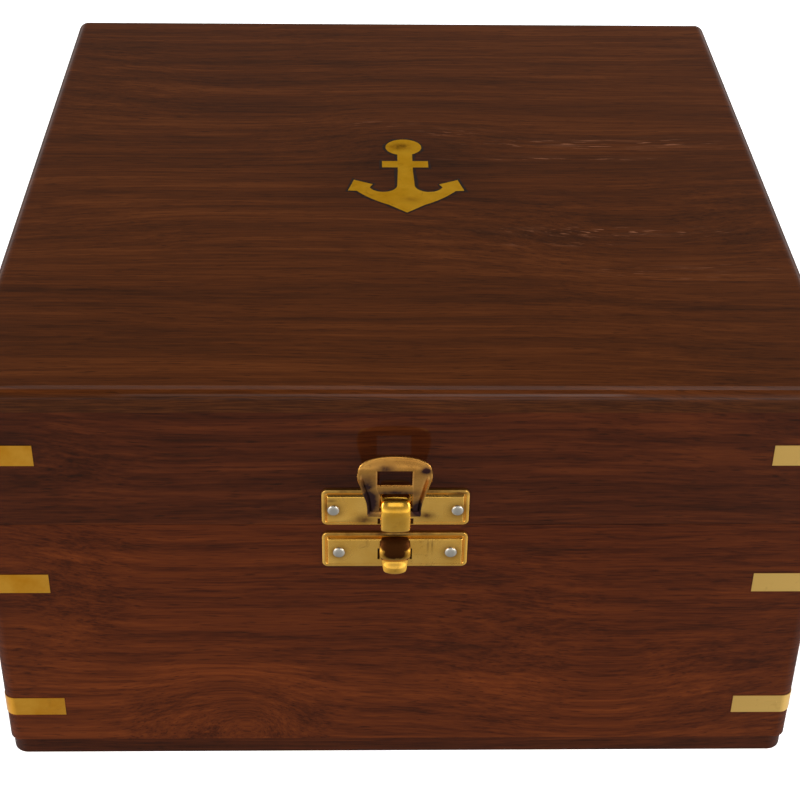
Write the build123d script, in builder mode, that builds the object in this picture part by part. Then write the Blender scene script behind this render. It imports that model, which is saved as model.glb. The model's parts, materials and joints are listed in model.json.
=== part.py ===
"""A gimballed marine chronometer in its rosewood carrying box.

Frame, in millimetres: the origin is the middle of the box's underside, +X runs to the right,
+Y to the back, where the lid's hinges are, and +Z up. The front face is at y = -case_d / 2.
The lid is shut and the hasp is flipped up. The dial's 12 is to the back.
"""
from build123d import *
from math import atan2, cos, degrees, hypot, radians, sin, sqrt
import os

# Driving dimensions of the box
case_w = 180.0
case_d = 184.0
case_h = 103.5
seam_z = 69.2
seam_gap = 0.1
wall = 12.0
board = 5.0
edge_r = 2.6
base_top = seam_z - seam_gap / 2
lid_bottom = seam_z + seam_gap / 2
front_y = -case_d / 2
back_y = case_d / 2
inner_x = case_w / 2 - wall
inner_y = case_d / 2 - wall

# Brass strips let into the corners, and their heights
strip_len = 13.8
strip_h = 5.2
strip_t = 1.2
strip_proud = 0.1
base_strip_z = (15.7, 52.8)
lid_strip_z = (87.6,)

# Clearances: round a fixed screw or nail, round a turning pin, and between faces that move
nail_room = 0.05
turn_room = 0.06
slack = 0.3

# Butt hinges on the back edge
hinge_x = (-50.0, 50.0)
hinge_w = 30.0
hinge_out = 2.2
hinge_leaf_t = 1.0
hinge_leaf_depth = 8.0
knuckle_r = 1.8
hinge_pin_r = 0.9
hinge_y = back_y + hinge_out
hinge_segments = 5
hinge_segment = hinge_w / hinge_segments
hinge_screw_x = (-10.0, 0.0, 10.0)
hinge_screw_y = back_y - hinge_leaf_depth / 2

# Front latch: two pressed plates, a swinging hasp and a hook
latch_x = -1.8
plate_w = 31.3
plate_h = 9.35
upper_plate_z = 74.2
lower_plate_z = 62.7
flange_t = 0.6
panel_t = 0.7
pin_head_r = 1.3
pin_head_t = 0.5
pin_r = 0.7
pin_len = 8.0
upper_pin_x = 13.0
lower_pin_x = 11.9
loop_w = 6.1
hasp_out = 3.0
hasp_z = 75.0
hasp_lean = 13.0
hasp_cap_bend = 40.0
hasp_shift = -0.35
hasp_t = 0.9
hasp_bar_r = 0.9

# Gimbals
gimbal_z = 58.0
bracket_low = 42.0
ring_in = 53.5
ring_out = 58.0
ring_h = 8.0
pivot_r = 1.5
pivot_cone = 4.0
lock_pivot = (-70.0, -25.0)
lock_screw_r = 1.6
lock_block_low = 46.0
lock_target = (-54.5, -18.5)

# Bowl, bezel and dial
bowl_r = 48.0
bowl_wall = 2.0
bowl_top = 63.0
bowl_bottom = 20.0
bowl_corner = 18.0
ledge_in = 44.0
ledge_t = 2.0
boss_r = 3.0
bezel_r = 51.0
bezel_low = 61.2
bezel_top = 69.0
glass_z = 66.3
glass_t = 1.4
dial_r = 44.0
dial_z = 61.5
dial_t = 0.8
shutter_t = 1.0
shutter_angle = 167.5
dial_bore_r = 2.25
dial_foot_r = 1.0
dial_foot_ring = 34.0
dial_foot_angles = (60, 180, 300)

# Hands: the heights of their undersides
hour_hand_z = 63.4
minute_hand_z = 64.3
small_hand_z = 62.8

# Movement: plates and the places of the arbors, in plan, from the bowl's middle
pillar_plate_z = 56.0
pillar_plate_t = 2.5
pillar_plate_r = 45.5
top_plate_z = 36.0
top_plate_t = 2.0
top_plate_r = 43.0
centre_at = (0.0, 0.0)
fourth_at = (0.0, -22.0)
up_down_at = (0.0, 22.0)
barrel_at = (22.0, 13.0)
barrel_r = 15.0
pillar_ring = 39.0
pillar_angles = (97, 215, 290, 340)

# Teeth and modules of each meshing pair
great_teeth, centre_leaves, great_module = 90, 14, 0.4
centre_teeth, third_leaves, centre_module = 90, 12, 0.35
third_teeth, fourth_leaves, third_module = 80, 10, 0.3
fourth_teeth, escape_leaves, fourth_module = 80, 10, 0.25
cannon_leaves, minute_teeth, minute_module = 14, 42, 0.3
minute_leaves, hour_teeth, hour_module = 12, 48, 0.28
escape_teeth = 15
escape_r = 6.0
escape_root_r = 4.4

# Heights of the wheels above the underside, from the great wheel to the motion work
wheel_t = 1.0
leaf_t = 2.4
escape_z = 33.2
great_z = 39.5
fourth_z = 43.5
third_z = 46.5
centre_z = 52.5
motion_z = 58.8
hour_pipe_z = 60.0

LOW = (Align.CENTER, Align.CENTER, Align.MIN)
HIGH = (Align.CENTER, Align.CENTER, Align.MAX)
os.makedirs("parts", exist_ok=True)


def finish(builder, name):
    """Label a finished piece and write its STEP file."""
    builder.part.label = name
    export_step(builder.part, f"parts/{name}.step")


def mesh_distance(wheel, leaves, module):
    """The distance between two arbors whose gears have these counts of teeth."""
    return module * (wheel + leaves) / 2


def meet(a, reach_a, b, reach_b, side):
    """The point at reach_a from a and reach_b from b, on the right (+1) or left (-1) going a to b."""
    dx = b[0] - a[0]
    dy = b[1] - a[1]
    span = hypot(dx, dy)
    along = (reach_a**2 - reach_b**2 + span**2) / (2 * span)
    off = side * sqrt(reach_a**2 - along**2)
    return (a[0] + (dx * along + dy * off) / span, a[1] + (dy * along - dx * off) / span)


def towards(start, distance, angle):
    """The point at a distance from start, at an angle in degrees from +X."""
    return (start[0] + distance * cos(radians(angle)), start[1] + distance * sin(radians(angle)))


def rod(at, r, z_low, z_high, mode=Mode.ADD):
    """An upright cylinder between two heights."""
    with Locations((at[0], at[1], z_low)):
        Cylinder(r, z_high - z_low, align=LOW, mode=mode)


def slab(low, high, mode=Mode.ADD):
    """A box between two corners."""
    with Locations(tuple((a + b) / 2 for a, b in zip(low, high))):
        Box(*[b - a for a, b in zip(low, high)], mode=mode)


def screw(plane, head_r, head_h, shank_r, length):
    """A countersunk screw with a slotted head: the head's top lies in the plane."""
    with Locations(plane):
        Cone(shank_r, head_r, head_h, align=HIGH)
        Cylinder(shank_r, length, align=HIGH)
        Box(2 * head_r + 1, head_r / 4, head_r / 2, mode=Mode.SUBTRACT)


def screw_hole(plane, head_r, head_h, shank_r, length):
    """The hole that such a screw sits in."""
    with Locations(plane):
        Cone(shank_r + nail_room, head_r + nail_room, head_h, align=HIGH, mode=Mode.SUBTRACT)
        Cylinder(shank_r + nail_room, length + slack, align=HIGH, mode=Mode.SUBTRACT)


def flat_screw(at, z, up):
    """The plane of a screw head that faces up, or down."""
    return Plane((at[0], at[1], z), x_dir=(1, 0, 0), z_dir=(0, 0, 1 if up else -1))


# Box boards
def strip_shape(grow):
    """Outlines of the strips round all four corners, grown outward so that they can cut a pocket."""
    RectangleRounded(case_w + 2 * grow, case_d + 2 * grow, edge_r)
    Rectangle(case_w - 2 * strip_t, case_d - 2 * strip_t, mode=Mode.SUBTRACT)
    Rectangle(case_w - 2 * strip_len, case_d + 10, mode=Mode.SUBTRACT)
    Rectangle(case_w + 10, case_d - 2 * strip_len, mode=Mode.SUBTRACT)


def strips_at(heights, grow, mode):
    """Solids of the corner strips at these heights, added or cut away."""
    for height in heights:
        with BuildSketch(Plane.XY.offset(height - strip_h / 2)) as outline:
            strip_shape(grow)
        extrude(outline.sketch, amount=strip_h, mode=mode)


def wall_board(half_along, half_across, turn, z_low, z_high, heights):
    """One mitred side of the box, drawn along X at the front and turned to its own side."""
    flat = half_along - edge_r
    arc_y = edge_r - half_across
    with BuildSketch(Plane.XY.rotated((0, 0, turn)).offset(z_low)) as outline:
        with BuildLine():
            left = CenterArc((-flat, arc_y), edge_r, 225, 45)
            right = CenterArc((flat, arc_y), edge_r, 270, 45)
            Line(left @ 1, right @ 0)
            inner_right = (half_along - wall, wall - half_across)
            inner_left = (wall - half_along, wall - half_across)
            Polyline(right @ 1, inner_right, inner_left, left @ 0)
        make_face()
    extrude(outline.sketch, amount=z_high - z_low)
    strips_at(heights, 2.0, Mode.SUBTRACT)


def latch_point(x_off, z):
    """The plane of a latch pin's seat on the front face."""
    return Plane((latch_x + x_off, front_y, z), x_dir=(1, 0, 0), z_dir=(0, -1, 0))


def pin_holes(x_off, z):
    """Holes for a latch plate's two pins."""
    for side in (-1, 1):
        with Locations(latch_point(side * x_off, z)):
            Cylinder(pin_r + nail_room, pin_len + slack, align=HIGH, mode=Mode.SUBTRACT)


sides = {
    "front": (case_w / 2, case_d / 2, 0),
    "right": (case_d / 2, case_w / 2, 90),
    "back": (case_w / 2, case_d / 2, 180),
    "left": (case_d / 2, case_w / 2, 270),
}
hinge_screw = (1.6, 0.9, 0.8, 9.0)
bracket_screw = (2.2, 1.2, 1.2, 10.0)
bracket_w = 18.0
bracket_t = 2.5
bracket_screw_y = (-6.0, 6.0)
bracket_screw_z = 50.0


def bracket_screw_plane(side, y):
    """The plane of a gimbal bracket's screw head, on the bracket's inner face."""
    return Plane((side * (inner_x - bracket_t), y, bracket_screw_z), x_dir=(0, 1, 0), z_dir=(-side, 0, 0))


for side_name, (half_along, half_across, turn) in sides.items():
    with BuildPart() as base_board:
        wall_board(half_along, half_across, turn, board, base_top, base_strip_z)
        if side_name == "front":
            pin_holes(lower_pin_x, lower_plate_z)
        if side_name == "back":
            for x in hinge_x:
                low = (x - hinge_w / 2, back_y - hinge_leaf_depth, base_top - hinge_leaf_t)
                slab(low, (x + hinge_w / 2, back_y + 1, base_top + 1), Mode.SUBTRACT)
                for dx in hinge_screw_x:
                    screw_hole(flat_screw((x + dx, hinge_screw_y), base_top, True), *hinge_screw)
        if side_name in ("left", "right"):
            side = 1 if side_name == "right" else -1
            for y in bracket_screw_y:
                screw_hole(bracket_screw_plane(side, y), *bracket_screw)
    finish(base_board, f"base_{side_name}_board")

    with BuildPart() as lid_board:
        wall_board(half_along, half_across, turn, lid_bottom, case_h - board, lid_strip_z)
        if side_name == "front":
            pin_holes(upper_pin_x, upper_plate_z)
        if side_name == "back":
            for x in hinge_x:
                low = (x - hinge_w / 2, back_y - hinge_leaf_depth, lid_bottom - 1)
                slab(low, (x + hinge_w / 2, back_y + 1, lid_bottom + hinge_leaf_t), Mode.SUBTRACT)
                for dx in hinge_screw_x:
                    screw_hole(flat_screw((x + dx, hinge_screw_y), lid_bottom, False), *hinge_screw)
    finish(lid_board, f"lid_{side_name}_board")

bottom_inset = 0.3
with BuildPart() as bottom_board:
    with BuildSketch():
        RectangleRounded(case_w - 2 * bottom_inset, case_d - 2 * bottom_inset, 3.5)
    extrude(amount=board)
    chamfer(bottom_board.faces().sort_by(Axis.Z)[0].edges(), 0.5)
finish(bottom_board, "base_bottom_board")

# The lid's top board has rounded upper edges and a pocket for the inlay
anchor_at = (1.8, 0.0)
inlay_t = 1.0
inlay_proud = 0.05


def anchor_shape():
    """The anchor's outline: disc, stock, shank, and a crown with two barbed arms."""
    with BuildSketch(Plane((*anchor_at, case_h - inlay_t))) as shape:
        with Locations((-0.25, 13.65)):
            Ellipse(4.5, 4.2)
        with Locations((0, 4.65)):
            Rectangle(11.4, 3.3)
        with BuildLine():
            shank = Polyline((0, 11.0), (1.85, 11.0), (1.85, 1.2), (2.1, -5.8))
            inner = ThreePointArc(shank @ 1, (4.9, -9.35), (8.8, -7.15))
            fluke = Polyline(inner @ 1, (8.05, -5.6), (12.6, -3.4), (14.0, -8.75), (11.9, -8.9))
            outer = ThreePointArc(fluke @ 1, (8.5, -12.6), (4.2, -15.7))
            Polyline(outer @ 1, (0, -19.4), shank @ 0)
        arm = make_face()
        mirror(arm, about=Plane.YZ)
    return shape.sketch


with BuildPart() as top_board:
    with BuildSketch(Plane.XY.offset(case_h - board)):
        RectangleRounded(case_w, case_d, edge_r)
    extrude(amount=board)
    fillet(top_board.faces().sort_by(Axis.Z)[-1].edges(), edge_r - 0.1)
    extrude(anchor_shape(), amount=inlay_t, mode=Mode.SUBTRACT)
finish(top_board, "lid_top_board")

with BuildPart() as anchor_inlay:
    extrude(anchor_shape(), amount=inlay_t + inlay_proud)
finish(anchor_inlay, "anchor_inlay")

with BuildPart() as base_strips:
    strips_at(base_strip_z, strip_proud, Mode.ADD)
finish(base_strips, "base_corner_strips")

with BuildPart() as lid_strips:
    strips_at(lid_strip_z, strip_proud, Mode.ADD)
finish(lid_strips, "lid_corner_strips")


# Hinges: each leaf carries every other knuckle
def hinge_leaves(low_z, high_z, first, head_z, up):
    """Both hinges' leaves on one side of the seam, with their knuckles and screw holes."""
    for x in hinge_x:
        slab((x - hinge_w / 2, back_y - hinge_leaf_depth, low_z), (x + hinge_w / 2, back_y, high_z))
        for number in range(first, hinge_segments, 2):
            start = x - hinge_w / 2 + number * hinge_segment + nail_room
            end = start + hinge_segment - 2 * nail_room
            slab((start, back_y - 1, low_z), (end, hinge_y, high_z))
            with Locations(Plane((start, hinge_y, seam_z), x_dir=(0, 1, 0), z_dir=(1, 0, 0))):
                Cylinder(knuckle_r, end - start, align=LOW)
        with Locations(Plane((x, hinge_y, seam_z), x_dir=(0, 1, 0), z_dir=(1, 0, 0))):
            Cylinder(hinge_pin_r + turn_room, hinge_w + 1, mode=Mode.SUBTRACT)
        for dx in hinge_screw_x:
            screw_hole(flat_screw((x + dx, hinge_screw_y), head_z, up), *hinge_screw)


with BuildPart() as base_leaves:
    hinge_leaves(base_top - hinge_leaf_t, base_top, 0, base_top, True)
finish(base_leaves, "hinge_base_leaves")

with BuildPart() as lid_leaves:
    hinge_leaves(lid_bottom, lid_bottom + hinge_leaf_t, 1, lid_bottom, False)
finish(lid_leaves, "hinge_lid_leaves")

with BuildPart() as hinge_pins:
    for x in hinge_x:
        with Locations(Plane((x, hinge_y, seam_z), x_dir=(0, 1, 0), z_dir=(1, 0, 0))):
            Cylinder(hinge_pin_r, hinge_w)
finish(hinge_pins, "hinge_pins")

with BuildPart() as base_hinge_screws:
    for x in hinge_x:
        for dx in hinge_screw_x:
            screw(flat_screw((x + dx, hinge_screw_y), base_top, True), *hinge_screw)
finish(base_hinge_screws, "hinge_base_screws")

with BuildPart() as lid_hinge_screws:
    for x in hinge_x:
        for dx in hinge_screw_x:
            screw(flat_screw((x + dx, hinge_screw_y), lid_bottom, False), *hinge_screw)
finish(lid_hinge_screws, "hinge_lid_screws")


# Latch
def latch_plate(z):
    """A thin flange with a raised panel, both with rounded corners."""
    face = Plane((latch_x, front_y, z), x_dir=(1, 0, 0), z_dir=(0, -1, 0))
    with BuildSketch(face) as flange:
        RectangleRounded(plate_w, plate_h, 1.2)
    extrude(flange.sketch, amount=flange_t)
    with BuildSketch(face.offset(flange_t)) as panel:
        RectangleRounded(plate_w - 2.2, plate_h - 1.6, 0.6)
    extrude(panel.sketch, amount=panel_t, taper=20)


def latch_pin_holes(x_off, z):
    """The holes in a latch plate for its pins."""
    for side in (-1, 1):
        with Locations(latch_point(side * x_off, z)):
            Cylinder(pin_r + nail_room, 4 * panel_t, mode=Mode.SUBTRACT)


def latch_pins(x_off, z):
    """Two round-headed pins through a latch plate."""
    for side in (-1, 1):
        with Locations(latch_point(side * x_off, z)):
            Cylinder(pin_r, pin_len, align=HIGH)
            Cylinder(pin_r, flange_t + panel_t, align=LOW)
        with Locations(latch_point(side * x_off, z).offset(flange_t + panel_t)):
            Cylinder(pin_head_r, pin_head_t, align=LOW)


def side_profile(points, width):
    """A solid as wide as stated about the latch's middle, from (out from the front, height) points."""
    plane = Plane((latch_x - width / 2, front_y, 0), x_dir=(0, -1, 0), z_dir=(-1, 0, 0))
    with BuildSketch(plane) as outline:
        with BuildLine():
            Polyline(*points, close=True)
        make_face()
    extrude(outline.sketch, amount=-width)


loop_points = (
    (0.4, 78.2), (1.2, 78.7), (2.4, 78.9), (3.5, 78.3), (4.3, 77.3), (4.85, 76.0), (4.95, 75.3),
    (4.85, 74.7), (4.15, 71.2), (3.9, 70.5), (3.3, 70.2), (0.4, 69.8),
)
hook_outer = (
    (0.6, 66.1), (1.8, 66.0), (2.9, 65.5), (3.7, 64.8), (4.0, 64.0), (3.9, 63.3), (3.3, 62.7),
    (2.6, 62.1), (2.35, 61.2), (2.2, 59.0), (1.95, 57.2),
)
hook_inner = ((1.5, 57.2), (1.5, 62.0), (1.3, 64.0), (0.6, 64.6))

with BuildPart() as loop:
    side_profile(loop_points, loop_w)
    ends = loop.faces().filter_by(Axis.X).edges()
    fillet(ends.filter_by_position(Axis.Y, front_y - 6, front_y - 1.2), 0.35)

with BuildPart() as upper_plate:
    latch_plate(upper_plate_z)
    add(loop.part)
    bar_axis = Plane((latch_x, front_y - hasp_out, hasp_z), x_dir=(0, 1, 0), z_dir=(1, 0, 0))
    with Locations(bar_axis):
        Cylinder(hasp_bar_r + turn_room, loop_w + 1, mode=Mode.SUBTRACT)
    latch_pin_holes(upper_pin_x, upper_plate_z)
finish(upper_plate, "latch_upper_plate")

with BuildPart() as upper_pins:
    latch_pins(upper_pin_x, upper_plate_z)
finish(upper_pins, "latch_upper_pins")

with BuildPart() as lower_plate:
    latch_plate(lower_plate_z)
    side_profile(hook_outer + hook_inner, loop_w)
    latch_pin_holes(lower_pin_x, lower_plate_z)
finish(lower_plate, "latch_lower_plate")

with BuildPart() as lower_pins:
    latch_pins(lower_pin_x, lower_plate_z)
finish(lower_pins, "latch_lower_pins")

lean = radians(hasp_lean)
hasp_plane = Plane(
    (latch_x, front_y - hasp_out, hasp_z), x_dir=(1, 0, 0), z_dir=(0, -cos(lean), -sin(lean))
)
hasp_foot_half = 5.5
hasp_bar_len = 2 * hasp_foot_half + 0.4
hasp_bend_v = 13.9
hasp_window_w = 7.2
hasp_window_v = (9.05, 13.8)
hasp_gap_half = 3.35
hasp_gap_top = 6.5
cap_half_w = 7.4
cap_rise = 2.95
with BuildPart() as hasp:
    with BuildSketch(hasp_plane) as body_outline:
        with BuildLine():
            side_points = ((hasp_foot_half, 0), (5.85, 3.8), (7.1, 9), (7.8, 12), (cap_half_w, hasp_bend_v))
            right = Spline(*[(hasp_shift + u, v) for u, v in side_points])
            left = Spline(*[(hasp_shift - u, v) for u, v in side_points])
            Line(right @ 1, left @ 1)
            Line(left @ 0, right @ 0)
        make_face()
        with Locations((hasp_shift, sum(hasp_window_v) / 2)):
            Rectangle(hasp_window_w, hasp_window_v[1] - hasp_window_v[0], mode=Mode.SUBTRACT)
        Rectangle(2 * hasp_gap_half, 2 * hasp_gap_top, mode=Mode.SUBTRACT)
    extrude(amount=hasp_t / 2, both=True)
    bend_at = hasp_plane.from_local_coords((hasp_shift, hasp_bend_v, 0))
    cap_lean = radians(hasp_lean - hasp_cap_bend)
    cap_plane = Plane(bend_at, x_dir=(1, 0, 0), z_dir=(0, -cos(cap_lean), -sin(cap_lean)))
    with BuildSketch(cap_plane):
        with BuildLine():
            dome = EllipticalCenterArc((0, 0), cap_half_w, cap_rise, arc_size=180)
            Line(dome @ 1, dome @ 0)
        make_face()
    extrude(amount=hasp_t / 2, both=True)
    with Locations(Plane(bend_at, x_dir=(0, 1, 0), z_dir=(1, 0, 0))):
        Cylinder(hasp_t / 2, 2 * cap_half_w)
    bar_at = hasp_plane.from_local_coords((hasp_shift, 0, 0))
    with Locations(Plane(bar_at, x_dir=(0, 1, 0), z_dir=(1, 0, 0))):
        Cylinder(hasp_bar_r, hasp_bar_len)
finish(hasp, "hasp")

# Gimbal brackets, the ring, its pivot screws, and the lever that locks it
with BuildPart() as brackets:
    for side in (-1, 1):
        wall_x = side * inner_x
        face_x = side * (inner_x - bracket_t)
        boss_x = side * (ring_out + 2.0)
        slab(
            (min(wall_x, face_x), -bracket_w / 2, bracket_low),
            (max(wall_x, face_x), bracket_w / 2, gimbal_z + 6),
        )
        slab((min(face_x, boss_x), -4.5, gimbal_z - 4), (max(face_x, boss_x), 4.5, gimbal_z + 4))
        with Locations(Plane((side * (ring_out - 5), 0, gimbal_z), x_dir=(0, 1, 0), z_dir=(side, 0, 0))):
            Cylinder(pivot_r + nail_room, 40, align=LOW, mode=Mode.SUBTRACT)
        for y in bracket_screw_y:
            screw_hole(bracket_screw_plane(side, y), *bracket_screw)
    lock_block_z = gimbal_z + ring_h / 2 + 0.2
    slab((-inner_x, lock_pivot[1] - 5, lock_block_low), (lock_pivot[0] + 5, lock_pivot[1] + 5, lock_block_z))
    rod(lock_pivot, lock_screw_r + nail_room, lock_block_z - 9, lock_block_z, Mode.SUBTRACT)
finish(brackets, "gimbal_brackets")

lock_lever_z = lock_block_z + 0.2
lock_lever_t = 2.0
lock_head_z = lock_lever_z + lock_lever_t + 0.2
with BuildPart() as bracket_screws:
    for side in (-1, 1):
        for y in bracket_screw_y:
            screw(bracket_screw_plane(side, y), *bracket_screw)
    rod(lock_pivot, lock_screw_r, lock_block_z - 8, lock_head_z)
    rod(lock_pivot, 2 * lock_screw_r, lock_head_z, lock_head_z + 1.6)
    with Locations((*lock_pivot, lock_head_z + 1.6)):
        Box(8, 0.8, 1.2, mode=Mode.SUBTRACT)
finish(bracket_screws, "bracket_screws")


def pivot_screw(plane, length, head_r, head_t):
    """A pivot screw along the plane's normal: plain nose at the origin, knurled head at the far end."""
    with Locations(plane):
        Cylinder(pivot_r, length, align=LOW)
    with Locations(plane.offset(length)):
        Cylinder(head_r, head_t, align=LOW)


def ring_pivot(side):
    """The plane of a ring pivot's nose inside the ring, pointing to the wall."""
    return Plane((side * (ring_out - pivot_cone), 0, gimbal_z), x_dir=(0, 1, 0), z_dir=(side, 0, 0))


def bowl_pivot(side):
    """The plane of a bowl pivot's nose inside the bowl's boss, pointing outward."""
    return Plane((0, side * (ring_in - 5), gimbal_z), x_dir=(1, 0, 0), z_dir=(0, side, 0))


with BuildPart() as ring_pivots:
    for side in (-1, 1):
        pivot_screw(ring_pivot(side), inner_x - ring_out + pivot_cone - 0.5, pivot_r, 0.1)
finish(ring_pivots, "ring_pivots")

with BuildPart() as gimbal_ring:
    with BuildSketch(Plane.XY.offset(gimbal_z - ring_h / 2)):
        Circle(ring_out)
        Circle(ring_in, mode=Mode.SUBTRACT)
    extrude(amount=ring_h)
    fillet(gimbal_ring.edges().filter_by(GeomType.CIRCLE), 0.8)
    for side in (-1, 1):
        with Locations(ring_pivot(side)):
            Cylinder(pivot_r + turn_room, 20, mode=Mode.SUBTRACT)
        with Locations(bowl_pivot(side)):
            Cylinder(pivot_r + nail_room, 20, align=LOW, mode=Mode.SUBTRACT)
finish(gimbal_ring, "gimbal_ring")

with BuildPart() as bowl_pivots:
    for side in (-1, 1):
        pivot_screw(bowl_pivot(side), ring_out - ring_in + 5 + 0.1, 3.2, 2.2)
finish(bowl_pivots, "bowl_pivots")

lever_len = hypot(lock_target[0] - lock_pivot[0], lock_target[1] - lock_pivot[1])
lever_end = (lock_pivot[0], lock_pivot[1] - lever_len)
with BuildPart() as lock_lever:
    rod(lock_pivot, 4.5, lock_lever_z, lock_lever_z + lock_lever_t)
    slab(
        (lock_pivot[0] - 2.2, lever_end[1], lock_lever_z),
        (lock_pivot[0] + 2.2, lock_pivot[1], lock_lever_z + lock_lever_t),
    )
    rod(lever_end, 3.4, lock_lever_z, lock_lever_z + lock_lever_t)
    rod(lever_end, 1.8, lock_lever_z, lock_lever_z + 6.0)
    rod(lock_pivot, lock_screw_r + turn_room, lock_lever_z - 1, lock_lever_z + 9, Mode.SUBTRACT)
finish(lock_lever, "gimbal_lock_lever")

# Winding key in its socket
key_at = (63.0, -65.0)
key_r = 3.5
key_low = board + 1.1
key_collar_z = 28.0
key_bow_z = 38.0
socket_r = 7.0
socket_top = 18.0
with BuildPart() as key_socket:
    rod(key_at, socket_r, board, socket_top)
    rod(key_at, key_r + 0.15, board + 1, socket_top + 1, Mode.SUBTRACT)
    chamfer(key_socket.faces().sort_by(Axis.Z)[-1].edges().sort_by(SortBy.LENGTH)[-1], 0.8)
finish(key_socket, "key_socket")

with BuildPart() as winding_key:
    rod(key_at, key_r, key_low, key_collar_z + 2)
    rod(key_at, 4.6, key_collar_z, key_collar_z + 3)
    with BuildSketch(Plane((*key_at, 0), x_dir=(1, 0, 0), z_dir=(0, -1, 0))):
        with Locations((-5.5, key_bow_z), (5.5, key_bow_z)):
            Circle(6.2)
        with Locations((0, key_bow_z - 4)):
            Rectangle(7.0, 9.0)
        with Locations((-6.0, key_bow_z + 0.6), (6.0, key_bow_z + 0.6)):
            Circle(1.8, mode=Mode.SUBTRACT)
    extrude(amount=1.4, both=True)
    with Locations((*key_at, key_low)):
        Box(3.2, 3.2, 12.0, align=LOW, mode=Mode.SUBTRACT)
finish(winding_key, "winding_key")

# Places of the remaining arbors, worked out from the gears between them
great_reach = mesh_distance(great_teeth, centre_leaves, great_module)
fusee_at = towards(centre_at, great_reach, shutter_angle)
third_at = meet(
    centre_at,
    mesh_distance(centre_teeth, third_leaves, centre_module),
    fourth_at,
    mesh_distance(third_teeth, fourth_leaves, third_module),
    -1,
)
escape_at = towards(fourth_at, mesh_distance(fourth_teeth, escape_leaves, fourth_module), 233.0)
roller_r = 1.9
balance_at = towards(escape_at, escape_r + roller_r + slack, 69.5)
minute_at = (mesh_distance(cannon_leaves, minute_teeth, minute_module), 0.0)

# Arbor radii
centre_arbor = 1.2
fusee_arbor = 1.5
slim_arbor = 0.7
fine_arbor = 0.5
hour_pipe_r = 2.0

# Bowl: two bosses take the pivots, and a hole in the bottom lets the key reach the fusee
winding_hole_r = 4.0
boss_len = 5.5
floor_top = bowl_bottom + bowl_wall
with BuildPart() as bowl:
    with BuildSketch(Plane.XZ) as bowl_profile:
        with BuildLine():
            outer_arc = CenterArc((bowl_r - bowl_corner, bowl_bottom + bowl_corner), bowl_corner, 270, 90)
            inner_corner = bowl_corner - bowl_wall
            inner_arc = CenterArc((bowl_r - bowl_corner, bowl_bottom + bowl_corner), inner_corner, 270, 90)
            Polyline((0, floor_top), (0, bowl_bottom), outer_arc @ 0)
            Polyline(
                outer_arc @ 1,
                (bowl_r, bowl_top),
                (bowl_r - bowl_wall, bowl_top),
                (bowl_r - bowl_wall, pillar_plate_z),
                (ledge_in, pillar_plate_z),
                (ledge_in, pillar_plate_z - ledge_t),
                (bowl_r - bowl_wall, pillar_plate_z - 2 * ledge_t),
                inner_arc @ 1,
            )
            Line(inner_arc @ 0, (0, floor_top))
        make_face()
    revolve(axis=Axis.Z)
    for side in (-1, 1):
        boss = Plane((0, side * (bowl_r - 1), gimbal_z), x_dir=(1, 0, 0), z_dir=(0, side, 0))
        with Locations(boss):
            Cylinder(boss_r, boss_len, align=LOW)
            Cylinder(pivot_r + turn_room, 2 * boss_len + 1, mode=Mode.SUBTRACT)
    rod(fusee_at, winding_hole_r, bowl_bottom - 1, floor_top + 1, Mode.SUBTRACT)
    rod(centre_at, fine_arbor + nail_room, bowl_bottom - 1, floor_top + 1, Mode.SUBTRACT)
finish(bowl, "bowl")

shutter_z = bowl_bottom - 0.1 - shutter_t
shutter_hub_r = 4.0
shutter_cover_r = 6.0
with BuildPart() as shutter:
    rod(centre_at, shutter_hub_r, shutter_z, shutter_z + shutter_t)
    rod(fusee_at, shutter_cover_r, shutter_z, shutter_z + shutter_t)
    with BuildSketch(Plane((*centre_at, shutter_z)).rotated((0, 0, shutter_angle))):
        with Locations((great_reach / 2, 0)):
            Rectangle(great_reach, shutter_cover_r)
    extrude(amount=shutter_t)
    rod(towards(fusee_at, 4.0, 100), 1.2, shutter_z - 1.0, shutter_z + shutter_t)
    rod(centre_at, fine_arbor + turn_room, shutter_z - 1, bowl_bottom + 1, Mode.SUBTRACT)
finish(shutter, "winding_shutter")

with BuildPart() as shutter_screw:
    rod(centre_at, fine_arbor, shutter_z - 0.1, floor_top)
    rod(centre_at, 1.6, shutter_z - 1.0, shutter_z - 0.1)
finish(shutter_screw, "shutter_screw")

bezel_in = 44.6
bezel_bore = 45.0
glass_r = 46.4
glass_seat_r = glass_r + 0.2
lip = bowl_r + 0.1
with BuildPart() as bezel:
    with BuildSketch(Plane.XZ):
        with BuildLine():
            Polyline(
                (lip, bezel_low),
                (bezel_r, bezel_low),
                (bezel_r, bezel_top - 2.7),
                (bezel_r - 0.7, bezel_top - 1.2),
                (bezel_r - 2.4, bezel_top),
                (bezel_in, bezel_top),
                (bezel_in, glass_z + glass_t + 0.1),
                (glass_seat_r, glass_z + glass_t + 0.1),
                (glass_seat_r, glass_z - 0.1),
                (bezel_bore, glass_z - 0.1),
                (bezel_bore, bowl_top + 0.1),
                (lip, bowl_top + 0.1),
                close=True,
            )
        make_face()
    revolve(axis=Axis.Z)
finish(bezel, "bezel")

with BuildPart() as glass:
    rod(centre_at, glass_r, glass_z, glass_z + glass_t)
    fillet(glass.faces().sort_by(Axis.Z)[-1].edges(), 0.5)
finish(glass, "dial_glass")

with BuildPart() as dial:
    rod(centre_at, dial_r, dial_z, dial_z + dial_t)
    rod(centre_at, dial_bore_r, dial_z - 1, dial_z + 2, Mode.SUBTRACT)
    for at in (fourth_at, up_down_at):
        rod(at, slim_arbor + 0.15, dial_z - 1, dial_z + 2, Mode.SUBTRACT)
    for angle in dial_foot_angles:
        rod(towards(centre_at, dial_foot_ring, angle), dial_foot_r, pillar_plate_z + 0.5, dial_z)
finish(dial, "dial")

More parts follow.
